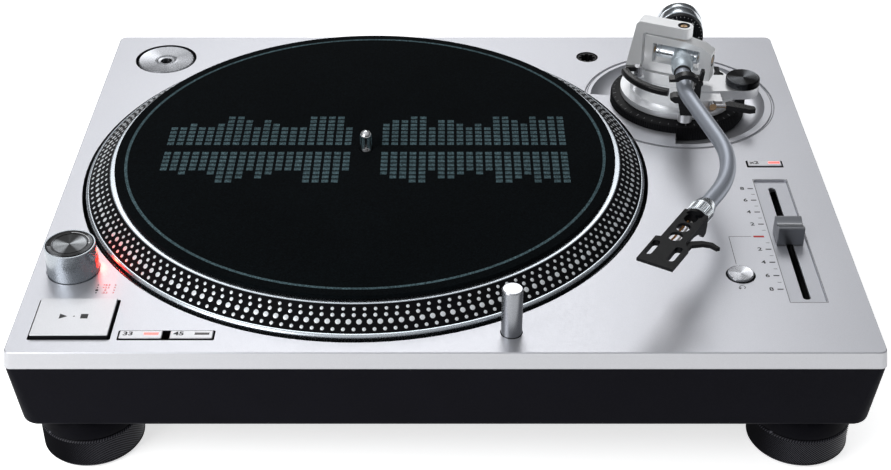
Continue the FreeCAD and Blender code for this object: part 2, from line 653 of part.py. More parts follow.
def arm_base():
    """Silver casting: disc, stepped top, bar for the anti-skate knob, cue block, lift guide."""
    disc_z = DECK_Z + 6.4
    stem = cyl(PIVOT, 19.5, 67.0, disc_z + 1)
    disc = cyl(PIVOT, 37.0, disc_z, DISC_TOP_Z)
    tier = cyl(PIVOT, 31.0, DISC_TOP_Z - 0.5, TIER_TOP_Z)
    bar = block(PIVOT.x + 8.5, SKATE.x, SKATE.y - SKATE_R, SKATE.y + SKATE_R,
                DISC_TOP_Z - 0.5, KNOB_BAR_Z)
    boss = cyl(SKATE, SKATE_R, DISC_TOP_Z - 0.5, KNOB_BAR_Z)
    cue_block = block(PIVOT.x + 9.5, PIVOT.x + 24.0, CUE_AXIS.y, SKATE.y - 10,
                      DISC_TOP_Z - 0.5, DECK_Z + 14.6)
    rest_boss = cyl(ARM.at(37.4, 2.8, 0), 4.5, DECK_Z + 6.6, DECK_Z + 12.0)
    guide = cyl(LIFT_SHAFT, 4.2, DECK_Z - 4.0, DECK_Z + 19.0)
    shape = fuse(stem, disc, tier, bar, boss, cue_block, rest_boss, guide)
    shape = shape.cut(cyl(LIFT_SHAFT, 2.55, DECK_Z - 3.5, DECK_Z + 20))
    shape = shape.cut(rod(CUE_AXIS - V(0, 1, 0), CUE_AXIS + V(0, 5, 0), 1.25))
    shape = shape.cut(cyl(HEIGHT_LOCK, 1.55, DECK_Z + 7.3, TIER_TOP_Z + 1))
    return shape.cut(cyl(SKATE, 2.05, DISC_TOP_Z + 1, KNOB_BAR_Z + 1))


def bearing_bracket():
    """C-shaped frame that carries the vertical pivots above and below the gimbal."""
    outline = [(0.8, 53.3), (-27.0, 53.3), (-29.3, 51.0), (-34.3, 21.5), (-32.5, 16.5), (-22.0, 11.5),
               (0.8, 11.5), (0.8, 18.8), (-21.5, 18.8), (-24.6, 21.5), (-24.6, 44.5), (-23.0, 46.1),
               (0.8, 46.1)]
    half = 5.2
    frame = FRAMES.plate_xz([(r, DECK_Z + z) for r, z in outline], -half, half)
    end = FRAMES.at(0, 0.8, 0)
    frame = fuse(frame, cyl(end, half, DECK_Z + 46.1, DECK_Z + 53.3),
                 cyl(end, half, DECK_Z + 11.5, DECK_Z + 18.8))
    return frame.cut(cyl(PIVOT, 2.6, DECK_Z + 13.0, DECK_Z + 60))


def pivot_screws():
    """Threaded bodies in the bracket, each with a point that runs in the gimbal."""
    upper = fuse(cyl(PIVOT, 2.6, DECK_Z + 46.1, DECK_Z + 52.8),
                 cyl(PIVOT, 1.2, DECK_Z + 44.8, DECK_Z + 46.5))
    lower = fuse(cyl(PIVOT, 2.6, DECK_Z + 13.0, DECK_Z + 18.8),
                 cyl(PIVOT, 1.2, DECK_Z + 18.5, DECK_Z + 19.9))
    slot = FRAMES.box(-3, 3, -0.4, 0.4, DECK_Z + 52.0, DECK_Z + 54)
    return [upper.cut(slot), lower]


def gimbal_ring():
    outer = [(-23.0, 44.5), (3.0, 44.5), (14.0, 42.5), (20.5, 39.0), (20.5, 20.2),
             (-21.6, 20.2), (-23.0, 21.8)]
    window = [(-17.5, 39.6), (13.0, 39.6), (13.0, 26.4), (-17.5, 26.4)]
    frame = FRAMES.plate_xz([(r, DECK_Z + z) for r, z in outer], -4.8, 4.8)
    frame = frame.cut(FRAMES.plate_xz([(r, DECK_Z + z) for r, z in window], -6, 6))
    return frame.cut(rod(FRAMES.at(0, -30, ARM_AXIS_Z), FRAMES.at(0, 30, ARM_AXIS_Z), 2.3))


def tilt_screws():
    screws = []
    for outside, face, tip in ((-22.7, -17.5, -16.2), (20.3, 13.0, 11.9)):
        body = rod(FRAMES.at(0, outside, ARM_AXIS_Z), FRAMES.at(0, face, ARM_AXIS_Z), 2.3)
        point = frustum(FRAMES.at(0, face, ARM_AXIS_Z), FRAMES.at(0, tip, ARM_AXIS_Z), 1.4, 0.7)
        screws.append(fuse(body, point))
    return screws


def arm_housing():
    """Trunnions, the core that passes through the gimbal, the front ferrule and rear shaft."""
    trunnion = rod(FRAMES.at(0, -15.9, ARM_AXIS_Z), FRAMES.at(0, 11.6, ARM_AXIS_Z), 4.2)
    core = rod(ARM.at(-9.5, 0, ARM_AXIS_Z), ARM.at(10.5, 0, ARM_AXIS_Z), 4.55)
    ferrule = rod(ARM.at(9.8, 0, ARM_AXIS_Z), ARM.at(FERRULE_F, 0, ARM_AXIS_Z), 6.8)
    neck = rod(ARM.at(-12.5, 0, ARM_AXIS_Z), ARM.at(-9.0, 0, ARM_AXIS_Z), 6.0)
    shaft = rod(ARM.at(-48.0, 0, ARM_AXIS_Z), ARM.at(-12.0, 0, ARM_AXIS_Z), 3.6)
    return fuse(core, trunnion, ferrule, neck, shaft)


def tube_corners():
    """Corners of the S: first bend, second bend, and the direction at the headshell."""
    first = ARM.at(BEND_DIST, 0, ARM_AXIS_Z)
    mid = heading(MID_TURN)
    last = SHELL.forward
    gap = SHELL.at(0, 0, ARM_AXIS_Z) - first
    cross = mid.x * last.y - mid.y * last.x
    along = (gap.x * last.y - gap.y * last.x) / cross
    return first, first + mid * along, mid


def bend(before, corner, after, radius):
    """Arc edge of the given radius between two straight directions, with its end points."""
    half = before.getAngle(after) / 2
    setback = radius * math.tan(half)
    start, end = corner - before * setback, corner + after * setback
    bisector = (after - before).normalize()
    centre = corner + bisector * (radius / math.cos(half))
    middle = centre - bisector * radius
    return Part.Arc(start, middle, end).toShape(), start, end


def tube_path():
    first, second, mid = tube_corners()
    arc_1, s1, e1 = bend(ARM.forward, first, mid, BEND_1_R)
    arc_2, s2, e2 = bend(mid, second, SHELL.forward, BEND_2_R)
    begin, finish = ARM.at(FERRULE_F, 0, ARM_AXIS_Z), SHELL.at(COLLAR_REAR + 6.0, 0, ARM_AXIS_Z)
    lines = [Part.LineSegment(a, b).toShape() for a, b in ((begin, s1), (e1, s2), (e2, finish))]
    return Part.Wire([lines[0], arc_1, lines[1], arc_2, lines[2]])


def arm_tube():
    path = tube_path()
    start = ARM.at(FERRULE_F, 0, ARM_AXIS_Z)
    shells = []
    for radius in (TUBE_R, TUBE_R - TUBE_WALL):
        circle = Part.Wire(Part.makeCircle(radius, start, ARM.forward))
        shells.append(path.makePipeShell([circle], True, False))
    return shells[0].cut(shells[1])


def shell_axis(forward):
    return SHELL.at(forward, 0, ARM_AXIS_Z)


def locking_collar():
    body = fuse(rod(shell_axis(COLLAR_REAR + 5), shell_axis(SHELL_REAR - 0.4), 6.7),
                frustum(shell_axis(COLLAR_REAR), shell_axis(COLLAR_REAR + 5.2), 5.6, 6.7))
    return body.cut(rod(shell_axis(COLLAR_REAR - 1), shell_axis(SHELL_REAR + 1), TUBE_R + 0.05))


def headshell():
    """Slotted head plate on two deep side walls, with its connector and finger lift."""
    z0 = SHELL_TOP_Z - SHELL_T
    low = z0 - 1.8
    body = SHELL.plate_xy([(SHELL_FRONT, -9.2), (SHELL_FRONT, 11.0), (-9.8, 11.0), (-13.0, 8.4),
                           (-16.0, SHELL_HALF), (SHELL_REAR, SHELL_HALF), (SHELL_REAR, -SHELL_HALF),
                           (-14.6, -SHELL_HALF), (-13.6, -9.4)], z0, SHELL_TOP_Z)
    pad = SHELL.box(-11.8, SHELL_FRONT - 4.0, -8.6, 9.6, low, z0 + 0.1)
    skirt = [(SHELL_REAR, z0 + 0.5), (SHELL_REAR, DECK_Z + 31), (-44.2, DECK_Z + 26.2),
             (-41.6, DECK_Z + 25.2), (-39.0, DECK_Z + 26.6), (-36.0, DECK_Z + 29.8),
             (-32.5, DECK_Z + 32.0), (-27.0, DECK_Z + 33.4), (-14.0, DECK_Z + 34.6), (-14.0, z0 + 0.5)]
    walls = [SHELL.plate_fz(skirt, r0, r0 + 1.4) for r0 in (-SHELL_HALF, SHELL_HALF - 1.4)]
    body = fuse(body, pad, *walls)
    for right in (-SLOT_PITCH / 2, SLOT_PITCH / 2):
        body = body.cut(SHELL.oblong(-8.0, 2.0, right, 2.0, low - 1, SHELL_TOP_Z + 1))
    for index in range(3):
        mid = -37.8 + 9.85 * index
        body = body.cut(SHELL.oblong(mid - 0.7, mid + 0.7, 0, 3.5, z0 - 1, SHELL_TOP_Z + 1))
    plug = rod(shell_axis(SHELL_REAR - 12.0), shell_axis(SHELL_REAR + 1), TUBE_R - TUBE_WALL)
    flange = rod(shell_axis(SHELL_REAR), shell_axis(SHELL_REAR + 3.0), 6.2)
    return fuse(body, flange, plug, finger_lift())


def finger_lift():
    """Curved finger bar under the right shoulder of the head plate."""
    rear = [(-12.0, 5.8), (-20.4, 7.4), (-24.0, 12.6), (-25.2, 18.0), (-23.0, 23.0)]
    front = [(-21.4, 21.8), (-22.4, 17.6), (-21.3, 14.2), (-17.4, 9.8), (-10.5, 9.2)]
    z = SHELL_TOP_Z - SHELL_T - 2.0
    return SHELL.plate_xy(rear + front, z, z + 2.05)


def headshell_leads():
    """Four short leads that sag from the connector pins towards the cartridge."""
    leads = []
    for index, right in enumerate((-3.9, -1.3, 1.3, 3.9)):
        z = SHELL_TOP_Z - 5.0
        points = [SHELL.at(SHELL_REAR + 3.0, right * 0.8, z), SHELL.at(-35.0, right, z - 1.4),
                  SHELL.at(-27.0, right, z - 1.9 - 0.3 * index), SHELL.at(-17.5, right, z - 0.6)]
        pieces = [rod(a, b, 0.55) for a, b in zip(points, points[1:])]
        pieces += [Part.makeSphere(0.55, p) for p in points[1:-1]]
        leads.append(fuse(*pieces))
    return leads


def counterweight_bush():
    """Rubber-damped sleeve that follows the thread of the rear shaft."""
    start, end = ARM.at(WEIGHT_F - 1.0, 0, ARM_AXIS_Z), ARM.at(WEIGHT_F - 16.0, 0, ARM_AXIS_Z)
    return rod(start, end, 6.4).cut(rod(start - ARM.forward * -2, end - ARM.forward * 2, 3.65))


def counterweight():
    front, back = WEIGHT_F - DIAL_T - 0.2, WEIGHT_F - WEIGHT_L
    body = rod(ARM.at(front, 0, ARM_AXIS_Z), ARM.at(back, 0, ARM_AXIS_Z), WEIGHT_R)
    return body.cut(rod(ARM.at(front + 1, 0, ARM_AXIS_Z), ARM.at(back - 1, 0, ARM_AXIS_Z), 6.45))


def force_dial():
    front, back = WEIGHT_F, WEIGHT_F - DIAL_T
    body = rod(ARM.at(front, 0, ARM_AXIS_Z), ARM.at(back, 0, ARM_AXIS_Z), WEIGHT_R - 0.3)
    dish = rod(ARM.at(front + 1, 0, ARM_AXIS_Z), ARM.at(front - 1.2, 0, ARM_AXIS_Z), 11.0)
    return body.cut(dish).cut(rod(ARM.at(front + 1, 0, ARM_AXIS_Z), ARM.at(back - 1, 0, ARM_AXIS_Z), 6.45))


def arm_rest():
    """Cradle under the tube, open towards the platter, with the clip's hinge pin."""
    foot_outline = [(-0.5, 12.0), (6.8, 12.0), (8.4, 22.0), (9.6, 24.5), (-4.4, 24.5), (-2.2, 20.0)]
    cradle = [(-5.0, 23.5), (9.6, 23.5), (10.2, 28.0), (10.2, 36.0), (6.0, 36.0), (6.0, 31.5), (4.6, 28.6),
              (2.4, 28.0), (-5.5, 28.0), (-8.0, 26.6), (-7.6, 25.4)]
    post = ARM.plate_xz([(r, DECK_Z + z) for r, z in foot_outline], 34.6, 41.5)
    tray = ARM.plate_xz([(r, DECK_Z + z) for r, z in cradle], REST_F0, REST_F1)
    lug = ARM.box(REST_F0, REST_F0 + 2.4, CLIP_PIN[0] - 1.8, CLIP_PIN[0] + 1.3,
                  DECK_Z + 35.5, CLIP_PIN[1] + 2.0)
    pin = rod(ARM.at(REST_F0 + 1, *CLIP_PIN), ARM.at(REST_F1 + 1.5, *CLIP_PIN), 1.0)
    return fuse(post, tray, lug, pin)


def arm_clip():
    """Hook that swings over the tube, with a finger tab."""
    f0, f1 = REST_F0 + 2.8, REST_F1 + 1.4
    right, z = CLIP_PIN
    centre = (0.8, DECK_Z + 34.6)

    def arc_points(radius, start, end, count=9):
        angles = [math.radians(start + (end - start) * k / (count - 1)) for k in range(count)]
        return [(centre[0] + radius * math.cos(a), centre[1] + radius * math.sin(a)) for a in angles]

    hook = ARM.plate_xz(arc_points(9.4, 22, 138) + [(-9.6, DECK_Z + 40.4), (-9.6, DECK_Z + 38.6)]
                        + arc_points(6.6, 138, 40), f0, f1)
    knuckle = rod(ARM.at(f0, right, z), ARM.at(f1, right, z), 2.1)
    tab_outline = [(right - 0.8, z), (right + 1.8, z), (right + 2.6, z + 7.4), (right + 0.6, z + 7.6)]
    tab = ARM.plate_xz(tab_outline, f0, f0 + 4.4)
    return fuse(hook, knuckle, tab).cut(rod(ARM.at(f0 - 1, right, z), ARM.at(f1 + 1, right, z), 1.05))


def anti_skate_knob():
    cap = cyl(SKATE, SKATE_R, KNOB_BAR_Z + 0.2, KNOB_BAR_Z + 4.6)
    cap = cap.makeChamfer(0.4, edges_at(cap, KNOB_BAR_Z + 4.6))
    return fuse(cap, cyl(SKATE, 2.0, DISC_TOP_Z + 2, KNOB_BAR_Z + 1))


def cue_lever():
    x, y, z = CUE_AXIS.x, CUE_AXIS.y, CUE_AXIS.z
    hub = rod(V(x, y - 0.3, z), V(x, y - 4.6, z), 2.3)
    pin = rod(V(x, y + 4.0, z), V(x, y - 1.0, z), 1.2)
    stem = rod(V(x, y - 2.6, z), V(x + 9.0, y - 3.2, z), 1.2)
    outline = [V(x + 8.0, y - 1.0, z + 1.6), V(x + 11.0, y + 0.4, z + 1.6), V(x + 25.5, y - 6.4, z + 1.6),
               V(x + 25.8, y - 9.6, z + 1.6), V(x + 22.0, y - 10.4, z + 1.6), V(x + 8.0, y - 5.4, z + 1.6)]
    paddle = Part.Face(Part.makePolygon(outline + outline[:1])).extrude(V(0, 0, -3.2))
    return fuse(hub, pin, stem, paddle)


def lifter_bar():
    """Curved lift bar under the tube, on its lift shaft."""
    half = 2.5
    profile = [(LIFTER_MID_R - half, LIFTER_Z), (LIFTER_MID_R + half, LIFTER_Z),
               (LIFTER_MID_R + half, LIFTER_Z + LIFTER_H), (LIFTER_MID_R - half, LIFTER_Z + LIFTER_H)]
    start, sweep = 187.0, 62.0
    shape = turned(PIVOT, profile, sweep, start)
    for angle in (start, start + sweep):
        a = math.radians(angle)
        end = PIVOT + V(math.cos(a), math.sin(a), 0) * LIFTER_MID_R
        shape = shape.fuse(cyl(end, half, LIFTER_Z, LIFTER_Z + LIFTER_H))
    web = block(LIFT_SHAFT.x - 8.0, LIFT_SHAFT.x, LIFT_SHAFT.y - 2.2, LIFT_SHAFT.y + 2.2,
                LIFTER_Z, LIFTER_Z + 3.4)
    shaft = cyl(LIFT_SHAFT, 2.5, DECK_Z - 2.8, LIFTER_Z + 3.4)
    return fuse(shape, web, shaft)


def height_lock():
    """Small lever behind the anti-skate knob that clamps the height ring."""
    hub = cyl(HEIGHT_LOCK, 3.2, TIER_TOP_Z + GAP, DECK_Z + 13.8)
    lever = block(HEIGHT_LOCK.x - 1.6, HEIGHT_LOCK.x + 1.6, HEIGHT_LOCK.y, HEIGHT_LOCK.y + 11.0,
                  TIER_TOP_Z + 0.6, DECK_Z + 13.4)
    return fuse(hub, lever, cyl(HEIGHT_LOCK, 1.5, DECK_Z + 7.5, TIER_TOP_Z + 1))


# ---- export -------------------------------------------------------------------------------
def main():
    os.makedirs(STEP_DIR, exist_ok=True)
    export("top_panel", top_panel())
    export("base_cabinet", base_cabinet())
    export("bottom_cover", bottom_cover())
    export("cover_screws", *cover_screws())
    export("foot_collars", *[foot_collar(place) for place in foot_places().values()])
    for name, place in foot_places().items():
        export(f"foot_{name}", foot(place))
        export(f"foot_pad_{name}", foot_pad(place))
    export("motor_plate", motor_plate())
    export("stator", *stator())
    export("bearing_housing", bearing_housing())
    export("circuit_boards", *circuit_boards())
    export("pitch_fader", pitch_fader())
    export("ac_inlet", ac_inlet())
    export("terminal_cup", terminal_cup())
    export("phono_terminals", *phono_terminals())
    export("strobe_housing", strobe_housing())
    export("strobe_window", strobe_window())
    export("headshell_socket", headshell_socket())
    export("pitch_panel", pitch_panel())
    export("platter", platter())
    export("platter_damper", platter_damper())
    export("slipmat", slipmat())
    export("rotor_yoke", rotor_yoke())
    export("rotor_magnet", rotor_magnet())
    export("spindle", spindle())
    export("power_knob", power_knob())
    export("start_stop_button", push_button(START_STOP, START_STOP_SIZE, 2.2, 9.0))
    for name, x in SPEED_X.items():
        export(name, push_button(V(x, SPEED_Y, 0), SPEED_SIZE, 0.8, 8.0))
    export("button_x2", push_button(DOUBLE_BUTTON, DOUBLE_SIZE, 0.8, 8.0))
    export("reset_button", reset_button())
    export("target_light", target_light())
    export("pitch_slider", pitch_slider())
    export("adapter_45", adapter_45())
    export("height_ring", height_ring())
    export("arm_base", arm_base())
    export("bearing_bracket", bearing_bracket())
    export("pivot_screws", *pivot_screws())
    export("gimbal_ring", gimbal_ring())
    export("tilt_screws", *tilt_screws())
    export("arm_housing", arm_housing())
    export("arm_tube", arm_tube())
    export("locking_collar", locking_collar())
    export("headshell", headshell())
    export("headshell_leads", *headshell_leads())
    export("counterweight_bush", counterweight_bush())
    export("counterweight", counterweight())
    export("force_dial", force_dial())
    export("arm_rest", arm_rest())
    export("arm_clip", arm_clip())
    export("anti_skate_knob", anti_skate_knob())
    export("cue_lever", cue_lever())
    export("lifter_bar", lifter_bar())
    export("height_lock", height_lock())


main()
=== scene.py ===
"""Looks of a direct-drive turntable record player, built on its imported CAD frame.

Metres, +X to the player's right, +Y to the back, +Z up. Places and sizes come from the frame's
boxes and joints; the values that they can't give are the fine detail of the surfaces. Outlines for
`mm` and marks in `Prints` are in millimetres.
"""
import json
import math
import random

import bmesh
import bpy
from mathutils import Matrix, Vector


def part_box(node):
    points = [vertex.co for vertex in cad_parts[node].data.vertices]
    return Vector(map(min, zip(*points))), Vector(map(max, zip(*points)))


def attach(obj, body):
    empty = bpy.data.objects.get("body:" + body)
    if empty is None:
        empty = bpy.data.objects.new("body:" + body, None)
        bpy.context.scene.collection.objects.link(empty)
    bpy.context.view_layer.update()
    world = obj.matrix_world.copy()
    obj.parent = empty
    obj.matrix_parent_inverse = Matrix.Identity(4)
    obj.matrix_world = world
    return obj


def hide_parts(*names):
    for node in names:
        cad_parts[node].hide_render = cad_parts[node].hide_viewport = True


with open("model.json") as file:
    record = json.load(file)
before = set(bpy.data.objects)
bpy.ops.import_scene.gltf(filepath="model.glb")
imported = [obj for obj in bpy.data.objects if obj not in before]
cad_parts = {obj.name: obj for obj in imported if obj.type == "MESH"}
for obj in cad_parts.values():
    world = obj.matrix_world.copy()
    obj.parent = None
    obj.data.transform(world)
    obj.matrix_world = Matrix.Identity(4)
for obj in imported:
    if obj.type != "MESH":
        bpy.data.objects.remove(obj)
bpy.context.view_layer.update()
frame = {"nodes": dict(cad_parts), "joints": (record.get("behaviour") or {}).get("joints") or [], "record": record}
JOINTS = {joint["name"]: joint for joint in frame["joints"]}
BODY_OF = {node: body for body, nodes in frame["record"]["behaviour"]["bodies"].items() for node in nodes}
MM = 0.001
UP = Vector((0, 0, 1))


# ---- places and sizes taken from the frame ------------------------------------------------
def middle(node):
    low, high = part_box(node)
    return (low + high) / 2


def half_width(node):
    low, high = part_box(node)
    return (high.x - low.x) / 2


def top_of(node, lift=0.0):
    """Middle of a node's top, raised by `lift` millimetres."""
    return Vector((*middle(node).xy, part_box(node)[1].z + lift * MM))


def ground(node):
    """Point on the ground below a node's middle."""
    return Vector((*middle(node).xy, 0))


def turned_size(node):
    """Bottom, top and radius of an upright turned part, in millimetres."""
    low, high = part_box(node)
    return low.z / MM, high.z / MM, half_width(node) / MM


def around(turn):
    """Level unit vector at an angle from +X."""
    return Vector((math.cos(turn), math.sin(turn), 0))


def direction(joint):
    return Vector(JOINTS[joint]["axis"]).normalized()


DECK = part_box("top_panel")[1].z
SPINDLE = ground("spindle")
PLATTER_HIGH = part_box("platter")[1]
PLATTER_R = half_width("platter")
MAT_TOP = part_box("slipmat")[1].z
MAT_R = half_width("slipmat")
PIVOT = Vector(JOINTS["arm_swing"]["pos_m"])
BEARING = Vector((*PIVOT.xy, middle("arm_tube").z))
ARM_DIR = direction("weight_turn")
SHELL_DIR = direction("collar_turn")
TILT_AXIS = direction("arm_tilt") * math.copysign(1.0, direction("arm_tilt").x)
KNOB = ground("power_knob")
FEET = [name for name in frame["nodes"]
        if name.startswith("foot_") and name != "foot_collars" and "pad" not in name]
WELL_R = PLATTER_R + 2.4 * MM
KNOB_RIM_R = 17.0 * MM                         # of the deck's hole for the strobe pod
ARM_RING = Vector((150.8, 86.0, 0)) * MM       # groove turned into the deck round the arm
ARM_RING_R = 60.1 * MM
TUBE_R = 4.6                                   # in millimetres
STROBE_OUT_R, STROBE_OUT_Z = PLATTER_R - 2.0 * MM, DECK + 2.3 * MM
STROBE_IN_R = MAT_R + 2.7 * MM
# rows of dots on the platter's edge: radius, count and dot size, in millimetres
STROBE_ROWS = ((162.1, 188, 2.0), (158.8, 182, 2.9), (155.9, 176, 2.1), (153.2, 172, 1.85))
SILVER = (0.62, 0.628, 0.668)
INK = (0.012, 0.012, 0.014)
WHITE_INK = (0.75, 0.76, 0.77)
LABEL_H = 0.03 * MM
COLOUR_A, COLOUR_B, COLOUR_RESULT = 6, 7, 2     # sockets of a colour mix node


# ---- node materials -----------------------------------------------------------------------
class Nodes:
    """Builder for a shader node tree."""

    def __init__(self, tree):
        self.tree = tree

    def node(self, kind, inputs=(), **settings):
        made = self.tree.nodes.new("ShaderNode" + kind)
        for key, value in settings.items():
            setattr(made, key, value)
        for key, value in dict(inputs).items():
            if isinstance(value, bpy.types.NodeSocket):
                self.tree.links.new(value, made.inputs[key])
            else:
                made.inputs[key].default_value = value
        return made

    def calc(self, operation, *values):
        return self.node("Math", dict(enumerate(values)), operation=operation).outputs[0]

    def ranged(self, value, low, high, start=0.3, end=0.7):
        limits = {"Value": value, "From Min": start, "From Max": end, "To Min": low, "To Max": high}
        return self.node("MapRange", limits).outputs["Result"]


class Surface(Nodes):
    """Builder for one procedural material. Patterns are laid over object space, in metres."""

    def __init__(self, name, colour, roughness, metallic=0.0, **sockets):
        self.material = bpy.data.materials.new(name)
        self.material.use_nodes = True
        super().__init__(self.material.node_tree)
        self.shader = self.tree.nodes["Principled BSDF"]
        self.place = self.node("TexCoord").outputs["Object"]
        self.base = (*colour, 1.0)
        values = {"Base Color": self.base, "Roughness": roughness, "Metallic": metallic}
        values.update({key.replace("_", " "): value for key, value in sockets.items()})
        for socket, value in values.items():
            self.shader.inputs[socket].default_value = value
        self.height = None

    def noise(self, scale, detail=2.0, stretch=(1, 1, 1)):
        """Cloudy pattern with about `scale` features per metre, stretched along the axes."""
        mapped = self.node("Mapping", {"Vector": self.place, "Scale": stretch}).outputs["Vector"]
        return self.node("TexNoise", {"Vector": mapped, "Scale": scale, "Detail": detail}).outputs["Fac"]

    def cells(self, scale):
        return self.node("TexVoronoi", {"Vector": self.place, "Scale": scale}).outputs["Distance"]

    def mixed(self, inputs, **settings):
        """Mix another colour into the colour so far."""
        node = self.node("Mix", inputs, data_type="RGBA", **settings)
        socket = self.shader.inputs["Base Color"]
        if socket.links:
            self.tree.links.new(socket.links[0].from_socket, node.inputs[COLOUR_A])
        else:
            node.inputs[COLOUR_A].default_value = self.base
        self.tree.links.new(node.outputs[COLOUR_RESULT], socket)
        return self

    def shade(self, pattern, low, high, start=0.3, end=0.7):
        """Multiply the colour so far by low to high along a pattern."""
        factor = self.ranged(pattern, low, high, start, end)
        return self.mixed({0: 1.0, COLOUR_B: factor}, blend_type="MULTIPLY")

    def cloudy(self, scale, low, high, detail=2.0):
        return self.shade(self.noise(scale, detail), low, high)

    def tint(self, pattern, colour, start=0.3, end=0.7):
        """Blend towards another colour where the pattern is high."""
        factor = self.ranged(pattern, 0.0, 1.0, start, end)
        return self.mixed({0: factor, COLOUR_B: (*colour, 1.0)})

    def rough(self, pattern, low, high):
        self.tree.links.new(self.ranged(pattern, low, high), self.shader.inputs["Roughness"])
        return self

    def bump(self, pattern, height):
        """Raise the surface by up to `height` metres; bumps add up."""
        settings = {"Height": pattern, "Distance": height, "Strength": 1.0}
        if self.height is not None:
            settings["Normal"] = self.height
        self.height = self.node("Bump", settings).outputs["Normal"]
        self.tree.links.new(self.height, self.shader.inputs["Normal"])
        return self

    def painted_light_wedges(self, centre, low, high, turn=0.0):
        """Painted highlight and shade: wedges of lighter and darker colour round an upright axis, as on a face
        spun under a soft light.
        """
        shift = {"Vector": self.place, "Location": (-centre.x, -centre.y, 0.0)}
        round_axis = self.node("Mapping", shift).outputs["Vector"]
        angle = self.node("TexGradient", {"Vector": round_axis}, gradient_type="RADIAL").outputs["Fac"]
        waves = []
        for lobes, phase in ((2, turn), (5, 2.3 * turn)):
            waves.append(self.calc("SINE", self.calc("MULTIPLY_ADD", angle, 2 * math.pi * lobes, phase)))
        return self.shade(self.calc("MULTIPLY_ADD", waves[1], 0.45, waves[0]), low, high, -0.6, 1.3)

    def radial(self, amount):
        """Spun finish: highlights spread out from the object's vertical axis."""
        tangent = self.node("Tangent", direction_type="RADIAL", axis="Z").outputs["Tangent"]
        self.tree.links.new(tangent, self.shader.inputs["Tangent"])
        self.shader.inputs["Anisotropic"].default_value = amount
        self.shader.inputs["Anisotropic Rotation"].default_value = 0.25
        return self


def blasted_metal(name, colour, roughness, metallic=0.75):
    """Bead-blasted anodised aluminium with a fine sparkle."""
    made = Surface(name, colour, roughness, metallic, Specular_IOR_Level=0.5)
    grain = made.noise(3200.0, 3.0)
    made.shade(grain, 0.93, 1.04).cloudy(9.0, 0.985, 1.01)
    made.rough(made.noise(1400.0, 2.0), roughness - 0.05, roughness + 0.05)
    return made.bump(grain, 0.012 * MM).material


def cast_metal(name, colour, roughness=0.30, metallic=0.85):
    """Finely tumbled casting with a fine grain."""
    made = Surface(name, colour, roughness, metallic)
    grain = made.noise(3600.0, 2.0)
    made.shade(grain, 0.96, 1.02).cloudy(25.0, 0.985, 1.01, 1.0)
    made.rough(made.noise(1500.0, 2.0), roughness - 0.03, roughness + 0.03)
    return made.bump(grain, 0.0012 * MM).material


def polished_metal(name, colour, roughness=0.10):
    """Plated steel with faint wipe marks."""
    made = Surface(name, colour, roughness, 1.0)
    wipe = made.noise(700.0, 4.0, (1.0, 0.15, 1.0))
    made.cloudy(120.0, 0.95, 1.03)
    return made.rough(wipe, roughness - 0.03, roughness + 0.05).bump(wipe, 0.002 * MM).material


def spun_metal_with_painted_light(name, colour, centre, roughness=0.28, painted_light_wedges=(0.75, 1.2), turn=0.6):
    """Face turned on a lathe: fine rings spread the light, and painted highlight and shade wedges lighten and
    darken the colour round the axis.
    """
    made = Surface(name, colour, roughness, 1.0)
    # painted highlight and shade: wedges of lighter and darker colour round the axis
    made.cloudy(900.0, 0.96, 1.03, 3.0).painted_light_wedges(centre, *painted_light_wedges, turn)
    made.rough(made.noise(1200.0, 2.0), roughness - 0.01, roughness + 0.02)
    return made.radial(0.8).material


def moulded(name, colour, roughness, grain_height=0.012, specular=0.2, coat=0.0):
    """Moulded or painted dark part with a fine texture."""
    made = Surface(name, colour, roughness, 0.0, Specular_IOR_Level=specular, Coat_Weight=coat)
    grain = made.noise(2600.0, 3.0)
    made.shade(grain, 0.8, 1.25).cloudy(40.0, 0.9, 1.1)
    made.rough(made.noise(900.0, 3.0), roughness - 0.07, roughness + 0.08)
    return made.bump(grain, grain_height * MM).material


def felt(name, colour):
    """Short dense pile: fibres, small tufts and broad wear."""
    made = Surface(name, colour, 0.95, 0.0, Sheen_Weight=0.015, Sheen_Roughness=0.5,
                   Specular_IOR_Level=0.03)
    fibre = made.noise(1500.0, 5.0)
    tuft = made.cells(900.0)
    made.shade(fibre, 0.35, 2.1).shade(tuft, 1.25, 0.75, 0.1, 0.6).cloudy(25.0, 0.88, 1.12)
    return made.bump(fibre, 0.16 * MM).bump(tuft, 0.06 * MM).material


def printed(name, colour, roughness=0.5):
    """Screen-printed ink, slightly uneven."""
    made = Surface(name, colour, roughness, 0.0)
    made.cloudy(2500.0, 0.85, 1.15, 3.0)
    return made.rough(made.noise(1500.0), roughness - 0.08, roughness + 0.1).material


def lamp(name, colour, glow, strength):
    """Lit lens with a cloudy tone."""
    made = Surface(name, colour, 0.25, 0.0, Emission_Color=(*glow, 1.0), Emission_Strength=strength,
                   Coat_Weight=0.4)
    return made.cloudy(1200.0, 0.8, 1.2).bump(made.noise(1500.0), 0.01 * MM).material


def knurled_black(name):
    """Black grip whose raised points are painted lighter, a painted highlight for where they catch the light."""
    made = Surface(name, (0.0015, 0.0015, 0.003), 0.4, 0.0, Specular_IOR_Level=0.08)
    raised = made.node("NewGeometry").outputs["Pointiness"]
    # painted highlight: the pointed tips of the knurl are tinted lighter
    made.tint(raised, (0.17, 0.17, 0.20), 0.53, 0.68).cloudy(900.0, 0.85, 1.1)
    return made.rough(made.noise(1500.0), 0.35, 0.5).material


def rubber(name):
    made = Surface(name, (0.018, 0.018, 0.019), 0.8)
    grain = made.noise(1800.0, 3.0)
    return made.shade(grain, 0.7, 1.4).rough(grain, 0.7, 0.9).bump(grain, 0.03 * MM).material


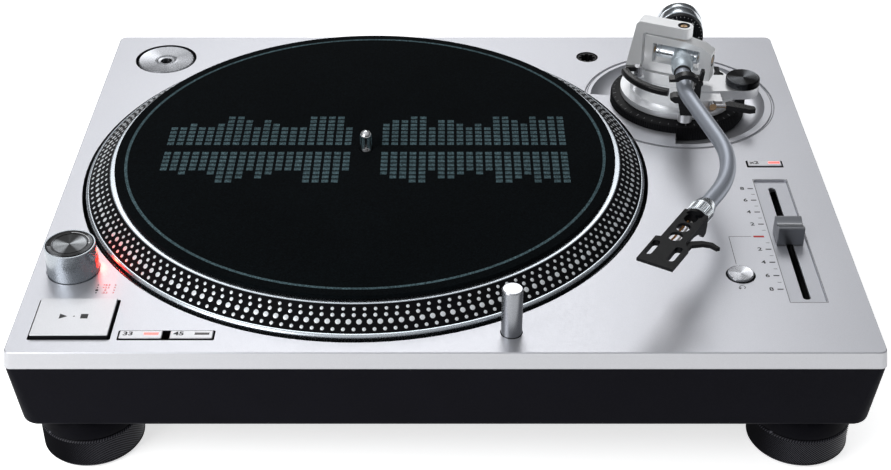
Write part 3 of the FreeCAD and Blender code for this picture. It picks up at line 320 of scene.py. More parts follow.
def circuit(name):
    """Solder-mask green with copper tracks showing under it."""
    made = Surface(name, (0.02, 0.12, 0.05), 0.4, 0.0, Coat_Weight=0.3)
    tracks = made.node("TexBrick", {"Vector": made.place, "Scale": 90.0}).outputs["Fac"]
    made.shade(tracks, 0.7, 1.2).cloudy(300.0, 0.85, 1.1)
    return made.bump(tracks, 0.03 * MM).material


def lead_colours(name):
    """Insulation colours of the four leads, side by side across the headshell."""
    made = Surface(name, (0.8, 0.8, 0.78), 0.35, 0.0, Coat_Weight=0.2)
    side = Vector((-SHELL_DIR.y, SHELL_DIR.x, 0))
    split = made.node("SeparateXYZ", {"Vector": made.place}).outputs
    along = made.calc("MULTIPLY_ADD", split["Y"], side.y, made.calc("MULTIPLY", split["X"], side.x))
    start = middle("headshell_leads").dot(side)
    for shift, colour in ((-1.9, (0.75, 0.32, 0.08)), (0.9, (0.62, 0.05, 0.05)), (2.7, (0.05, 0.2, 0.5))):
        edge = start + shift * MM
        if shift < 0:
            made.tint(along, colour, edge + 0.1 * MM, edge)
        else:
            made.tint(along, colour, edge, edge + 0.1 * MM)
    return made.material


MATERIALS = {
    "silver_panel": blasted_metal("deck_silver", SILVER, 0.42, 0.8),
    "band_silver": blasted_metal("band_silver", (0.60, 0.605, 0.63), 0.5, 0.3),
    "black_base": moulded("cabinet_black", (0.0026, 0.0026, 0.0052), 0.6, 0.02, 0.05),
    # painted shade: black for the platter well, the insides of the button holes and the button flanks
    "painted_shade_black": moulded("painted_shade_black", (0.006, 0.006, 0.008), 0.6, 0.01),
    "cover_steel": moulded("cover_black", (0.02, 0.02, 0.022), 0.5, 0.02),
    "screw_steel": polished_metal("screw_zinc", (0.6, 0.6, 0.58), 0.25),
    "foot_silver": moulded("foot_black", (0.0025, 0.0025, 0.0045), 0.55, 0.008, 0.06),
    "grip_black": knurled_black("grip_black"),
    "pad_rubber": rubber("foot_rubber"),
    "motor_steel": cast_metal("motor_steel", (0.5, 0.51, 0.52)),
    "stator_copper": cast_metal("coil_copper", (0.7, 0.34, 0.15), 0.35),
    "bearing_brass": cast_metal("bearing_brass", (0.75, 0.58, 0.3)),
    "board": circuit("circuit_board"),
    "fader_body": moulded("fader_black", (0.02, 0.02, 0.022), 0.45),
    "inlet_plastic": moulded("inlet_black", (0.012, 0.012, 0.013), 0.4),
    "terminal_gold": polished_metal("gilt_terminal", (0.85, 0.62, 0.28), 0.18),
    "pod_silver": cast_metal("pod_silver", (0.38, 0.41, 0.44), 0.28, 0.95),
    "window_red": lamp("strobe_red", (0.6, 0.02, 0.015), (1.0, 0.025, 0.015), 3.2),
    "socket_black": moulded("socket_black", (0.008, 0.008, 0.009), 0.35),
    "panel_silver": blasted_metal("pitch_silver", (0.54, 0.55, 0.59), 0.42, 0.8),
    "platter_metal": cast_metal("platter_silver", (0.62, 0.67, 0.72), 0.26, 1.0),
    "mat_felt": felt("mat_felt", (0.0020, 0.0032, 0.0040)),
    "magnet": moulded("ferrite", (0.06, 0.06, 0.065), 0.55),
    "spindle_steel": polished_metal("spindle_steel", (0.82, 0.83, 0.85)),
    # the spun materials below carry painted highlight and shade wedges in their colour
    "knob_dark": spun_metal_with_painted_light("knob_spun_dark_painted_light", (0.10, 0.105, 0.11), KNOB, 0.24, (0.15, 2.6), 0.9),
    "button_silver": blasted_metal("button_silver", (0.66, 0.665, 0.69), 0.42),
    "lamp_silver": spun_metal_with_painted_light("lamp_cap_spun_painted_light", (0.30, 0.31, 0.33), middle("target_light"), 0.24,
                              (0.9, 1.1)),
    "reset_silver": spun_metal_with_painted_light("reset_spun_painted_light", (0.50, 0.51, 0.54), middle("reset_button"), 0.26),
    "slider_chrome": cast_metal("slider_chrome", (0.25, 0.26, 0.28), 0.32, 1.0),
    "adapter_metal": spun_metal_with_painted_light("adapter_spun_painted_light", (0.38, 0.39, 0.415), middle("adapter_45"), 0.26,
                                (0.7, 1.25), 2.0),
    "ring_black": moulded("ring_black", (0.004, 0.004, 0.005), 0.45, 0.006, 0.12),
    "arm_casting": cast_metal("arm_base_silver", (0.82, 0.83, 0.85), 0.34, 0.75),
    "small_steel": polished_metal("small_steel", (0.5, 0.5, 0.52), 0.2),
    "black_plastic": moulded("rest_black", (0.008, 0.008, 0.009), 0.3, 0.006, coat=0.2),
    "skate_black": spun_metal_with_painted_light("skate_spun_black_painted_light", (0.035, 0.037, 0.04), middle("anti_skate_knob"), 0.24,
                              (0.1, 3.4), 0.3),
    "arm_metal": cast_metal("gimbal_silver", (0.93, 0.94, 0.95), 0.36, 0.45),
    "housing_metal": cast_metal("housing_silver", (0.56, 0.63, 0.68), 0.38, 0.8),
    "tube_metal": cast_metal("tube_silver", (0.40, 0.43, 0.49), 0.44, 0.7),
    "collar_chrome": cast_metal("collar_chrome", (0.74, 0.78, 0.82), 0.20, 1.0),
    "shell_black": moulded("shell_black", (0.003, 0.0034, 0.0045), 0.35, 0.003, 0.1),
    "lead_copper": lead_colours("lead_colours"),
    "bush_rubber": rubber("bush_rubber"),
    "weight_chrome": cast_metal("weight_chrome", (0.56, 0.60, 0.64), 0.15, 1.0),
    "dial_black": moulded("dial_black", (0.005, 0.005, 0.006), 0.4, 0.006, 0.15),
    "strobe_black": moulded("strobe_black", (0.003, 0.003, 0.004), 0.5, 0.002, 0.06),
    "strobe_dot": cast_metal("strobe_dot_silver", (0.80, 0.83, 0.86), 0.3, 0.35),
    "mat_print": felt("mat_print", (0.060, 0.098, 0.110)),
    "ink_black": printed("ink_black", INK),
    "ink_red": printed("ink_red", (0.62, 0.03, 0.03)),
    "ink_white": printed("ink_white", WHITE_INK),
    # grey ink for the height ring's ticks, and also painted shade for the arm ring groove lines and the pitch
    # panel's shadow line
    "print_and_painted_shade_grey": printed("print_and_painted_shade_grey", (0.16, 0.16, 0.17)),
    "led_red": lamp("led_red", (0.7, 0.05, 0.05), (1.0, 0.10, 0.08), 2.2),
    "led_dark": printed("led_dark", (0.02, 0.012, 0.013), 0.2),
    "bronze": cast_metal("bronze_nut", (0.62, 0.42, 0.24)),
}


# ---- mesh helpers -------------------------------------------------------------------------
def added(name, data):
    """New object in the scene."""
    obj = bpy.data.objects.new(name, data)
    bpy.context.scene.collection.objects.link(obj)
    return obj


def piece(name, mesh, slots, body, stands_for=()):
    """New visible piece with its materials, riding on a body."""
    obj = added(name, mesh)
    for slot in slots:
        mesh.materials.append(MATERIALS[slot])
    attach(obj, body)
    if stands_for:
        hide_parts(*stands_for)
    return obj


def smooth_faces(bm, angle=35.0):
    """Smooth shading with creases where faces meet at more than an angle."""
    for face in bm.faces:
        face.smooth = True
    for edge in bm.edges:
        edge.smooth = len(edge.link_faces) == 2 and edge.calc_face_angle() < math.radians(angle)


def closed(bm, angle=35.0):
    """Shape with its faces turned outwards and smoothed."""
    bmesh.ops.recalc_face_normals(bm, faces=bm.faces)
    smooth_faces(bm, angle)
    return bm


def finished_mesh(name, bm):
    mesh = bpy.data.meshes.new(name)
    bm.to_mesh(mesh)
    bm.free()
    return mesh


def soft_edges(obj, width, segments):
    bevel = obj.modifiers.new("edge_radius", "BEVEL")
    bevel.width = width
    bevel.segments = segments
    bevel.limit_method = "ANGLE"
    bevel.angle_limit = math.radians(32.0)
    bevel.harden_normals = True


def cad_bmesh(node):
    """The node's surface with its split corners joined and its flat faces whole."""
    bm = bmesh.new()
    bm.from_mesh(frame["nodes"][node].data)
    bmesh.ops.remove_doubles(bm, verts=bm.verts, dist=1e-6)
    bmesh.ops.dissolve_limit(bm, angle_limit=math.radians(0.5), verts=bm.verts, edges=bm.edges)
    smooth_faces(bm)
    return bm


def softened(node, slot, width=0.25, segments=2, extra=(), pick=None):
    """CAD part with real edge radii. `pick(face)` gives a face's material number."""
    bm = cad_bmesh(node)
    for face in bm.faces:
        face.material_index = pick(face) if pick else 0
    mesh = finished_mesh(node + "_body", bm)
    for layer in ("custom_normal", "sharp_face"):
        if layer in mesh.attributes:
            mesh.attributes.remove(mesh.attributes[layer])
    obj = piece(node + "_body", mesh, (slot, *extra), BODY_OF[node], (node,))
    if width:
        soft_edges(obj, width * MM, segments)


def rounded(points, radius, steps=3):
    """Closed outline of (a, b) points with each corner turned into a small arc."""
    made = []
    count = len(points)
    for index, point in enumerate(points):
        corner = Vector(point)
        before, after = Vector(points[index - 1]) - corner, Vector(points[(index + 1) % count]) - corner
        reach = min(radius, before.length * 0.45, after.length * 0.45)
        straight = abs(before.normalized().dot(after.normalized()) + 1) < 1e-3
        if straight or corner.x < 1e-7:
            made.append(tuple(corner))
            continue
        start, end = corner + before.normalized() * reach, corner + after.normalized() * reach
        for step in range(steps + 1):
            t = step / steps
            spot = start * (1 - t) ** 2 + corner * 2 * t * (1 - t) + end * t ** 2
            made.append(tuple(spot))
    return made


def lathed(profile, segments, index_of=None, wave=None, angle=35.0):
    """Closed (radius, z) outline turned about Z. `wave(step, radius, z)` adds to the radius."""
    bm = bmesh.new()
    rings = []
    for step in range(segments):
        turn = 2 * math.pi * step / segments
        ring = []
        for radius, z in profile:
            grown = radius + (wave(step, radius, z) if wave else 0.0)
            ring.append(bm.verts.new((grown * math.cos(turn), grown * math.sin(turn), z)))
        rings.append(ring)
    corners = list(zip(profile, profile[1:] + profile[:1]))
    for step, ring in enumerate(rings):
        following = rings[(step + 1) % segments]
        for i, (a, b) in enumerate(corners):
            j = (i + 1) % len(profile)
            if a[0] < 1e-7 and b[0] < 1e-7:
                continue
            face = bm.faces.new((ring[i], following[i], following[j], ring[j]))
            if index_of:
                face.material_index = index_of((a[0] + b[0]) / 2, (a[1] + b[1]) / 2)
    bmesh.ops.remove_doubles(bm, verts=bm.verts, dist=1e-7)
    return closed(bm, angle)


def moved(bm, spot, axis=UP):
    """Turn a Z-axis shape to another axis and put it at a spot."""
    turn = UP.rotation_difference(axis).to_matrix().to_4x4()
    bmesh.ops.transform(bm, matrix=Matrix.Translation(spot) @ turn, verts=bm.verts)
    return bm


def solid(name, node, bm, slots, stands=True):
    """Piece on its node's body, in the node's place unless it only adds to it."""
    return piece(name, finished_mesh(name, bm), slots, BODY_OF[node], (node,) if stands else ())


def turned(name, node, outline, slots, segments, spot, axis=UP, stands=True, **shape):
    """Piece turned from an outline about an axis through a spot."""
    return solid(name, node, moved(lathed(outline, segments, **shape), spot, axis), slots, stands)


def mm(outline, soft=0.0, steps=3):
    """Outline given in millimetres, with its corners softened."""
    points = [(radius * MM, z * MM) for radius, z in outline]
    return rounded(points, soft * MM, steps) if soft else points


def ribbed(edge, depth, period):
    """Wave for `lathed`: grooves of `depth` where the outline is beyond `edge`, in millimetres."""
    def wave(step, radius, z):
        return -depth * MM if radius > edge * MM and step % period < period // 2 else 0.0

    return wave


def skinned(bm, rings):
    """Closed skin over rings of vertices that follow each other."""
    for low, high in zip(rings, rings[1:]):
        for k in range(len(low)):
            j = (k + 1) % len(low)
            bm.faces.new((low[k], low[j], high[j], high[k]))
    bm.faces.new(rings[0][::-1])
    bm.faces.new(rings[-1])


def swept(points, section):
    """Closed solid from an outline of (side, up) points carried along a level route."""
    bm = bmesh.new()
    rings = []
    for index, point in enumerate(points):
        before, after = points[max(index - 1, 0)], points[min(index + 1, len(points) - 1)]
        side = UP.cross(after - before).normalized()
        rings.append([bm.verts.new(point + side * a + UP * b) for a, b in section])
    skinned(bm, rings)
    return closed(bm, 40.0)


def oval(half_side, half_up, count=32, power=0.5):
    """Outline in metres, from millimetres, between an ellipse (power 1) and a rectangle (power 0)."""
    made = []
    for k in range(count):
        turn = 2 * math.pi * k / count
        side, up = (math.copysign(abs(x) ** power, x) for x in (math.cos(turn), math.sin(turn)))
        made.append((side * half_side * MM, up * half_up * MM))
    return made


class Prints:
    """Thin raised marks gathered into one piece, laid out in millimetres on a plane."""

    def __init__(self, origin, across=Vector((1, 0, 0)), along=Vector((0, 1, 0))):
        self.bm = bmesh.new()
        basis = Matrix((across, along, across.cross(along))).transposed().to_4x4()
        self.matrix = Matrix.Translation(origin) @ basis

    def polygon(self, points):
        skinned(self.bm, [[self.bm.verts.new(self.matrix @ Vector((x * MM, y * MM, z))) for x, y in points]
                          for z in (-LABEL_H / 2, LABEL_H)])

    def bar(self, x, y, width, depth, turn=0.0):
        c, s = math.cos(turn), math.sin(turn)
        corners = ((-width, -depth), (width, -depth), (width, depth), (-width, depth))
        self.polygon([(x + (a * c - b * s) / 2, y + (a * s + b * c) / 2) for a, b in corners])

    def dot(self, x, y, radius, sides=16):
        turns = [2 * math.pi * i / sides for i in range(sides)]
        self.polygon([(x + radius * math.cos(t), y + radius * math.sin(t)) for t in turns])

    def arc(self, radius, width, start, end, steps=16):
        """Stroke round the origin, from start to end in degrees."""
        inner, outer = radius - width / 2, radius + width / 2
        for index in range(steps):
            a, b = (math.radians(start + (end - start) * k / steps) for k in (index, index + 1))
            self.polygon([(r * math.cos(t), r * math.sin(t))
                          for r, t in ((inner, a), (outer, a), (outer, b), (inner, b))])

    def number(self, text, x, y, size, turn=0.0, wide=1.0, bold=0.02):
        """Digits in the built-in typeface, centred on x, y."""
        curve = bpy.data.curves.new("digits", "FONT")
        curve.body, curve.size, curve.offset = text, size * MM, bold * size * MM
        curve.align_x = curve.align_y = "CENTER"
        curve.extrude = LABEL_H
        holder = bpy.data.objects.new("digits", curve)
        mesh = bpy.data.meshes.new_from_object(holder)
        spin = Matrix.Rotation(turn, 4, "Z") @ Matrix.Diagonal((wide, 1, 1, 1))
        mesh.transform(self.matrix @ Matrix.Translation((x * MM, y * MM, 0)) @ spin)
        self.bm.from_mesh(mesh)
        bpy.data.objects.remove(holder)
        bpy.data.meshes.remove(mesh)
        bpy.data.curves.remove(curve)

    def piece(self, name, slot, body):
        bmesh.ops.recalc_face_normals(self.bm, faces=self.bm.faces)
        return piece(name, finished_mesh(name, self.bm), (slot,), body)


# ---- chassis ------------------------------------------------------------------------------
def top_panel():
    """Silver deck; the platter well and the insides of the button holes are painted black as painted shade."""

    def pick(face):
        spot = face.calc_center_median()
        if spot.z > DECK - 0.35 * MM:
            return 0
        # painted shade: the wall of the platter well is painted black
        if (spot - SPINDLE).xy.length < WELL_R + 0.4 * MM:
            return 1
        near_arm = (spot - PIVOT).xy.length < 63 * MM
        near_pitch = spot.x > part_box("pitch_panel")[0].x - 2 * MM
        if abs(spot.x) > 222 * MM or abs(spot.y) > 173 * MM:
            return 2
        if near_arm or (near_pitch and spot.y < 0):
            return 0
        if (spot - KNOB).xy.length < KNOB_RIM_R and spot.z > DECK - 1.3 * MM:
            return 0
        # painted shade: the other faces below the deck, such as the insides of the button holes, are painted black
        return 1

    softened("top_panel", "silver_panel", 0.3, extra=("painted_shade_black", "band_silver"), pick=pick)


def knurled_foot(node):
    """Foot with a diamond-knurled grip between two plain lips."""
    low, high, outer = turned_size(node)
    lip, foot_top, stud, rows, depth = 26.3, 18.6, 5.0, 22, 0.75
    grip_low, grip_high, core = low + 1.6, foot_top - 1.3, outer - depth
    profile = [(0.0, 3.4), (25.2, 3.4), (25.4, low), (lip, low), (outer - 0.1, grip_low - 0.3)]
    profile += [(core, grip_low + (grip_high - grip_low) * row / rows) for row in range(rows + 1)]
    profile += [(outer - 0.1, grip_high + 0.3), (lip, foot_top), (stud, foot_top), (stud, high), (0.0, high)]

    def wave(step, radius, z):
        row = (z / MM - grip_low) / (grip_high - grip_low) * rows
        on_grip = abs(radius / MM - core) <= 1e-3 and -0.1 < row < rows + 0.1
        return depth * MM if on_grip and (step + round(row)) % 2 == 0 else 0.0

    turned("foot_grip_" + node[5:], node, mm(profile), ("grip_black",), 228, ground(node), wave=wave,
           angle=22.0)


def chassis():
    top_panel()
    for node, slot, width in (("base_cabinet", "black_base", 0.5), ("bottom_cover", "cover_steel", 0.3),
                              ("cover_screws", "screw_steel", 0.3), ("foot_collars", "foot_silver", 0.4)):
        softened(node, slot, width)
    for node in FEET:
        knurled_foot(node)
        softened(node.replace("foot_", "foot_pad_"), "pad_rubber", 0.6)
    for node, slot, width in (("ac_inlet", "inlet_plastic", 0.5), ("terminal_cup", "black_base", 0.4),
                              ("phono_terminals", "terminal_gold", 0.25),
                              ("headshell_socket", "socket_black", 0.2)):
        softened(node, slot, width)


def hidden_works():
    """Parts inside the case keep their CAD shape, with their own finishes."""
    for node, slot in (("motor_plate", "motor_steel"), ("stator", "stator_copper"),
                       ("bearing_housing", "bearing_brass"), ("circuit_boards", "board"),
                       ("pitch_fader", "fader_body"), ("platter_damper", "pad_rubber"),
                       ("rotor_yoke", "motor_steel"), ("rotor_magnet", "magnet"),
                       ("counterweight_bush", "bush_rubber")):
        slots = frame["nodes"][node].data.materials
        slots.clear()
        slots.append(MATERIALS[slot])


# ---- platter, mat and spindle -------------------------------------------------------------
def platter():
    """Turned platter: bright rim, black strobe band and a flat bright ring round the mat."""
    bottom, top, rim = turned_size("platter")
    deck, hub, plate = DECK / MM, 4.03, 77.5
    strobe_out, strobe_z, strobe_in = STROBE_OUT_R / MM, STROBE_OUT_Z / MM, STROBE_IN_R / MM
    outline = [(hub, plate), (26, plate), (26, top - 6), (146, top - 6), (157, 80), (rim - 6, plate),
               (rim - 6, bottom), (rim, bottom), (rim, deck - 3.2), (rim - 0.5, deck - 2.9),
               (rim - 0.5, deck - 2.4), (rim, deck - 2.1), (rim, deck + 1.3), (rim - 1.1, strobe_z),
               (strobe_out, strobe_z), (strobe_in, top), (hub, top)]

    def index_of(radius, z):
        return 1 if STROBE_IN_R + 0.25 * MM < radius < STROBE_OUT_R + 0.1 * MM and z > DECK else 0

    turned("platter_casting", "platter", mm(outline, 0.35), ("platter_metal", "strobe_black"), 360, SPINDLE,
           index_of=index_of)


def strobe_dots():
    """Rows of raised bright dots on the black band, a different count in each."""
    slope = Vector((STROBE_IN_R - STROBE_OUT_R, PLATTER_HIGH.z - STROBE_OUT_Z))
    normal = Vector((-slope.y, slope.x)).normalized()
    normal = normal if normal.y > 0 else -normal
    along = slope.normalized()
    sides = 12
    bm = bmesh.new()
    for radius_mm, count, size_mm in STROBE_ROWS:
        share = (STROBE_OUT_R - radius_mm * MM) / (STROBE_OUT_R - STROBE_IN_R)
        rise = STROBE_OUT_Z + share * (PLATTER_HIGH.z - STROBE_OUT_Z)
        for index in range(count):
            turn = 2 * math.pi * index / count
            out = around(turn)
            side = UP.cross(out)
            up_slope = out * along.x + UP * along.y
            lift = out * normal.x + UP * normal.y
            centre = SPINDLE + out * radius_mm * MM + UP * rise
            rings = []
            for grow, height in ((1.0, -0.05), (1.0, 0.05), (0.82, 0.13)):
                reach = size_mm / 2 * MM * grow
                rings.append([bm.verts.new(centre + lift * height * MM
                                           + side * reach * math.cos(a) + up_slope * reach * math.sin(a))
                              for a in (2 * math.pi * k / sides for k in range(sides))])
            skinned(bm, rings)
    solid("strobe_dots", "platter", closed(bm, 50.0), ("strobe_dot",), False)


def mat_prints():
    """Ring and two mirrored rows of level bars printed on the mat."""
    marks = Prints(Vector((*SPINDLE.xy, MAT_TOP)))
    marks.arc(141.5, 1.7, 0, 360, 180)
    chance = random.Random(4)
    column_pitch, level_pitch, hub, gap = 5.6, 4.4, 8.0, 5.6
    for index in range(-21, 22):
        x = index * column_pitch
        if abs(x) < hub:
            continue
        levels = int(chance.uniform(22.0, 39.0) / level_pitch)
        for side in (-1, 1):
            for level in range(levels):
                marks.bar(x, side * (gap + level_pitch * level), 3.9, 3.1)
    return marks.piece("mat_level_bars", "mat_print", BODY_OF["slipmat"])


def slipmat():
    """Felt disc with a soft cut edge, laid on the platter."""
    low, high, reach = turned_size("slipmat")
    hole = 4.2
    outline = mm([(hole, low), (reach, low), (reach, high), (hole, high)], 0.3 * (high - low), 5)
    mat = turned("felt_mat", "slipmat", outline, ("mat_felt",), 256, SPINDLE)
    marks = mat_prints()


def spindle():
    low, high = turned_size("spindle")[:2]
    mat_top, foot, reach, shoulder = MAT_TOP / MM, 5.0, 3.55, 77.5
    profile = [(0.0, low), (foot, low), (foot, shoulder), (4.0, shoulder), (4.0, mat_top - 0.5),
               (reach, mat_top + 0.1)]
    profile += [(reach * math.cos(a), high - reach + reach * math.sin(a))
                for a in (math.radians(9 * k) for k in range(10))] + [(0.0, high)]
    turned("spindle_pin", "spindle", mm(profile), ("spindle_steel",), 48, SPINDLE, angle=50.0)


# ---- controls on the deck -----------------------------------------------------------------
def power_knob():
    """Dark spun cap with a fine-ribbed border and a small turning arrow."""
    low, top, edge = turned_size("power_knob")
    ribs, stem, under = 96, 2.9, top - 4.8
    outline = [(0.0, low), (stem, low), (stem, under), (edge, under), (edge, top - 0.35), (edge - 0.4, top),
               (9.6, top), (9.3, top - 0.25), (9.0, top - 0.1), (0.0, top - 0.25)]

    def index_of(radius, z):
        return 1 if z > (top - 0.06) * MM and 9.7 * MM < radius < (edge - 0.5) * MM else 0

    turned("power_cap", "power_knob", mm(outline, 0.12, 2), ("knob_dark", "dial_black"), ribs * 4, KNOB,
           index_of=index_of, wave=ribbed(edge - 0.3, 0.16, 4))
    ridges = Prints(top_of("power_knob", -0.01))
    for index in range(ribs):
        turn = 2 * math.pi * index / ribs
        if math.sin(turn - 0.5) < 0.25:
            ridges.bar(11.1 * math.cos(turn), 11.1 * math.sin(turn), 1.9, 0.3, turn)
    ridges.piece("power_cap_ribs", "knob_dark", BODY_OF["power_knob"])
    mark = Prints(top_of("power_knob"))
    reach, tip = 10.6, math.radians(8)
    mark.arc(reach, 0.3, 10, 95, 14)
    mark.polygon([(radius * math.cos(turn), radius * math.sin(turn))
                  for radius, turn in ((reach - 0.7, tip), (reach, tip - 0.16), (reach + 0.7, tip))])
    mark.piece("power_arrow", "ink_white", BODY_OF["power_knob"])


def strobe_lens():
    """Red lens let into the pod's wall, curved with it, on the side towards the platter."""
    ends = [corner.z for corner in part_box("strobe_window")]
    outer = half_width("strobe_housing") + 0.08 * MM
    inner = outer - 1.2 * MM
    steps, start, sweep = 20, -12.0, 60.0
    turns = [math.radians(start + sweep * step / steps) for step in range(steps + 1)]
    outline = [(outer * math.cos(t), outer * math.sin(t)) for t in turns]
    outline += [(inner * math.cos(t), inner * math.sin(t)) for t in reversed(turns)]
    bm = bmesh.new()
    rings = [[bm.verts.new((KNOB.x + x, KNOB.y + y, z)) for x, y in outline] for z in ends]
    last = len(outline) - 1
    for k in range(len(outline)):
        j = (k + 1) % len(outline)
        bm.faces.new((rings[0][k], rings[0][j], rings[1][j], rings[1][k]))
    for ring in rings:
        for k in range(steps):
            bm.faces.new((ring[k], ring[k + 1], ring[last - k - 1], ring[last - k]))
    solid("strobe_lens", "strobe_window", closed(bm), ("window_red",))


def strobe_pod():
    softened("strobe_housing", "pod_silver", 0.3)
    strobe_lens()
    power_knob()


def strobe_legend():
    """Sample dots and speed offsets beside the pod."""
    origin = Vector((KNOB.x + 16.2 * MM, KNOB.y - 14.6 * MM, DECK))
    dots, numbers = Prints(origin), Prints(origin)
    for row, (size, text) in enumerate(((0.45, "+6.4"), (0.4, "+3.3"), (0.85, "0"), (0.45, "-3.3"))):
        drop = -2.35 * row
        dots.dot(0.0, drop, size)
        numbers.number(text, 4.6, drop, 2.1)
        numbers.number("%", 9.3, drop, 1.5)
    dots.piece("strobe_legend_dots", "ink_black", "chassis")
    numbers.piece("strobe_legend_numbers", "ink_red", "chassis")


def painted_shade_sided(node, width, segments):
    """Button with a silver face and chamfer; its flanks below them are painted black as painted shade."""
    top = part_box(node)[1].z

    def pick(face):
        # painted shade: the upright faces below the top get the black
        return 1 if abs(face.normal.z) < 0.5 and face.calc_center_median().z < top - 0.5 * MM else 0

    softened(node, "button_silver", width, segments, ("painted_shade_black",), pick)


def start_stop_mark():
    """Play and stop symbols."""
    marks = Prints(top_of("start_stop_button"))
    size = 2.2
    marks.polygon([(-7.6, -size), (-3.4, 0.0), (-7.6, size)])
    marks.dot(0.0, 0.0, 0.45)
    marks.bar(5.4, 0.0, 1.75 * size, 1.75 * size)
    marks.piece("start_stop_symbols", "ink_black", "start_stop")


def marked_button(node, text, text_x, lamp_x, lit, lamp_size=(7.6, 1.9)):
    """Speed button with its number and a small lamp bar."""
    painted_shade_sided(node, 0.25, 2)
    back = Vector((0, 0.4 * MM, 0))
    number = Prints(top_of(node) + back)
    number.number(text, text_x, 0.0, 4.2, wide=1.3, bold=0.03)
    number.piece(node + "_number", "ink_black", BODY_OF[node])
    light = Prints(top_of(node, 0.02) + back)
    light.bar(lamp_x, 0.0, *lamp_size)
    light.piece(node + "_lamp", "led_red" if lit else "led_dark", BODY_OF[node])


def reset_button():
    """Turned button and the circular arrow above it."""
    low, high, reach = turned_size("reset_button")
    outline = [(0.0, low), (reach, low), (reach, high - 0.4), (reach - 0.5, high), (reach - 1.0, high - 0.05),
               (0.0, high - 0.35)]
    spot = ground("reset_button")
    turned("reset_cap", "reset_button", mm(outline, 0.2), ("reset_silver",), 64, spot)
    mark = Prints(Vector((spot.x - 0.8 * MM, spot.y - 11.4 * MM, DECK)))
    mark.arc(1.5, 0.38, -60, 210, 14)
    mark.polygon([(-2.4, -0.4), (-0.4, -0.5), (-1.5, -1.9)])
    mark.piece("reset_symbol", "ink_black", "chassis")


def pitch_scale():
    """Numbers and ticks beside the fader, the red zero and the line to the reset button."""
    origin = Vector((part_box("pitch_panel")[0].x, middle("pitch_slider").y, DECK))
    marks = Prints(origin)
    step = 12.55
    for index in range(-4, 5):
        if index:
            marks.bar(-3.4, index * step, 3.2, 0.9)
            marks.number(str(2 * abs(index)), -8.2, index * step, 4.3, wide=1.15)
        if index < 4:
            marks.bar(-2.8, (index + 0.5) * step, 2.0, 0.35)
    reset = (middle("reset_button") - origin) / MM
    turn_x, drop, zero_end = reset.x - 0.9, reset.y + 10.0, 11.0
    marks.bar((turn_x - zero_end) / 2, 0.0, abs(turn_x) - zero_end, 0.3)
    marks.bar(turn_x, drop / 2, 0.3, abs(drop))
    marks.piece("pitch_scale_print", "ink_black", "chassis")
    zero = Prints(origin)
    zero.bar(-6.7, 0.0, 6.0, 1.7)
    zero.piece("pitch_zero_mark", "ink_red", "chassis")


def pitch_frame():
    """Shadow line where the pitch panel is let into the deck."""
    low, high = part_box("pitch_panel")
    lines = Prints(Vector((*middle("pitch_panel").xy, DECK)))
    across, along = (high.x - low.x) / 2 / MM + 0.3, (high.y - low.y) / 2 / MM + 0.3
    # painted shadow: grey lines along the panel's edges
    for side in (-1, 1):
        lines.bar(side * across, 0.0, 0.4, 2 * along)
        lines.bar(0.0, side * along, 2 * across, 0.4)
    lines.piece("pitch_frame_line", "print_and_painted_shade_grey", "chassis")


def pitch_control():
    pitch_frame()
    softened("pitch_panel", "panel_silver", 0.25)
    softened("pitch_slider", "slider_chrome", 0.45, 3)
    line = Prints(top_of("pitch_slider", -1.42))
    line.bar(0.0, 0.0, 2 * half_width("pitch_slider") / MM - 1.2, 0.5)
    line.piece("pitch_slider_line", "ink_white", BODY_OF["pitch_slider"])
    pitch_scale()


def adapter():
    """Turned adapter with a dished face and a stepped centre hole."""
    low, high, reach = turned_size("adapter_45")
    bore = 3.62
    outline = [(bore, low), (reach - 1, low), (reach, low + 1), (reach, high - 0.9), (reach - 1.0, high),
               (reach - 1.6, high - 0.12), (7.4, high - 0.9), (6.6, high - 0.6), (5.6, high - 1.2),
               (bore, high - 1.3)]
    turned("adapter_disc", "adapter_45", mm(outline, 0.25), ("adapter_metal",), 128, ground("adapter_45"))


def controls():
    strobe_pod()
    strobe_legend()
    painted_shade_sided("start_stop_button", 0.4, 3)
    start_stop_mark()
    marked_button("button_33", "33", -6.6, 5.4, True)
    marked_button("button_45", "45", -6.6, 5.4, False)
    marked_button("button_x2", "x2", -6.2, 5.7, True, (6.8, 1.7))
    reset_button()
    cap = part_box("target_light")[1].z - 0.6 * MM
    softened("target_light", "lamp_silver", 0.3, extra=("reset_silver",),
             pick=lambda face: 1 if face.calc_center_median().z > cap else 0)
    pitch_control()
    adapter()


# ---- tonearm ------------------------------------------------------------------------------
def height_ring():
    """Height ring: ribbed grip and a bevel with index ticks."""
    low, high, reach = turned_size("height_ring")
    bore, centre = 33.0, ground("height_ring")
    bevel_in, bevel_out, drop = reach - 6.0, reach - 0.9, 1.1
    outline = [(bore, low), (reach - 0.8, low), (reach, low + 1.0), (reach, high - 1.8),
               (bevel_out, high - drop), (bevel_in, high), (bore, high)]
    turned("height_ring_grip", "height_ring", mm(outline, 0.25), ("ring_black",), 168 * 4, centre,
           wave=ribbed(reach - 0.25, 0.35, 4))
    ticks = bmesh.new()
    for index in range(48):
        turn = 2 * math.pi * index / 48
        out = around(turn)
        half, start = (0.16, 0.68) if index % 6 else (0.24, 0.52)
        side = UP.cross(out) * half * MM
        inner, outer = (centre + out * (bevel_in + (bevel_out - bevel_in) * share) * MM
                        + UP * (high - drop * share + 0.02) * MM for share in (start, 0.92))
        quad = (inner - side, inner + side, outer + side, outer - side)
        skinned(ticks, [[ticks.verts.new(v + UP * lift * MM) for v in quad] for lift in (-0.05, 0.02)])
    bmesh.ops.recalc_face_normals(ticks, faces=ticks.faces)
    solid("height_ring_ticks", "height_ring", ticks, ("print_and_painted_shade_grey",), False)


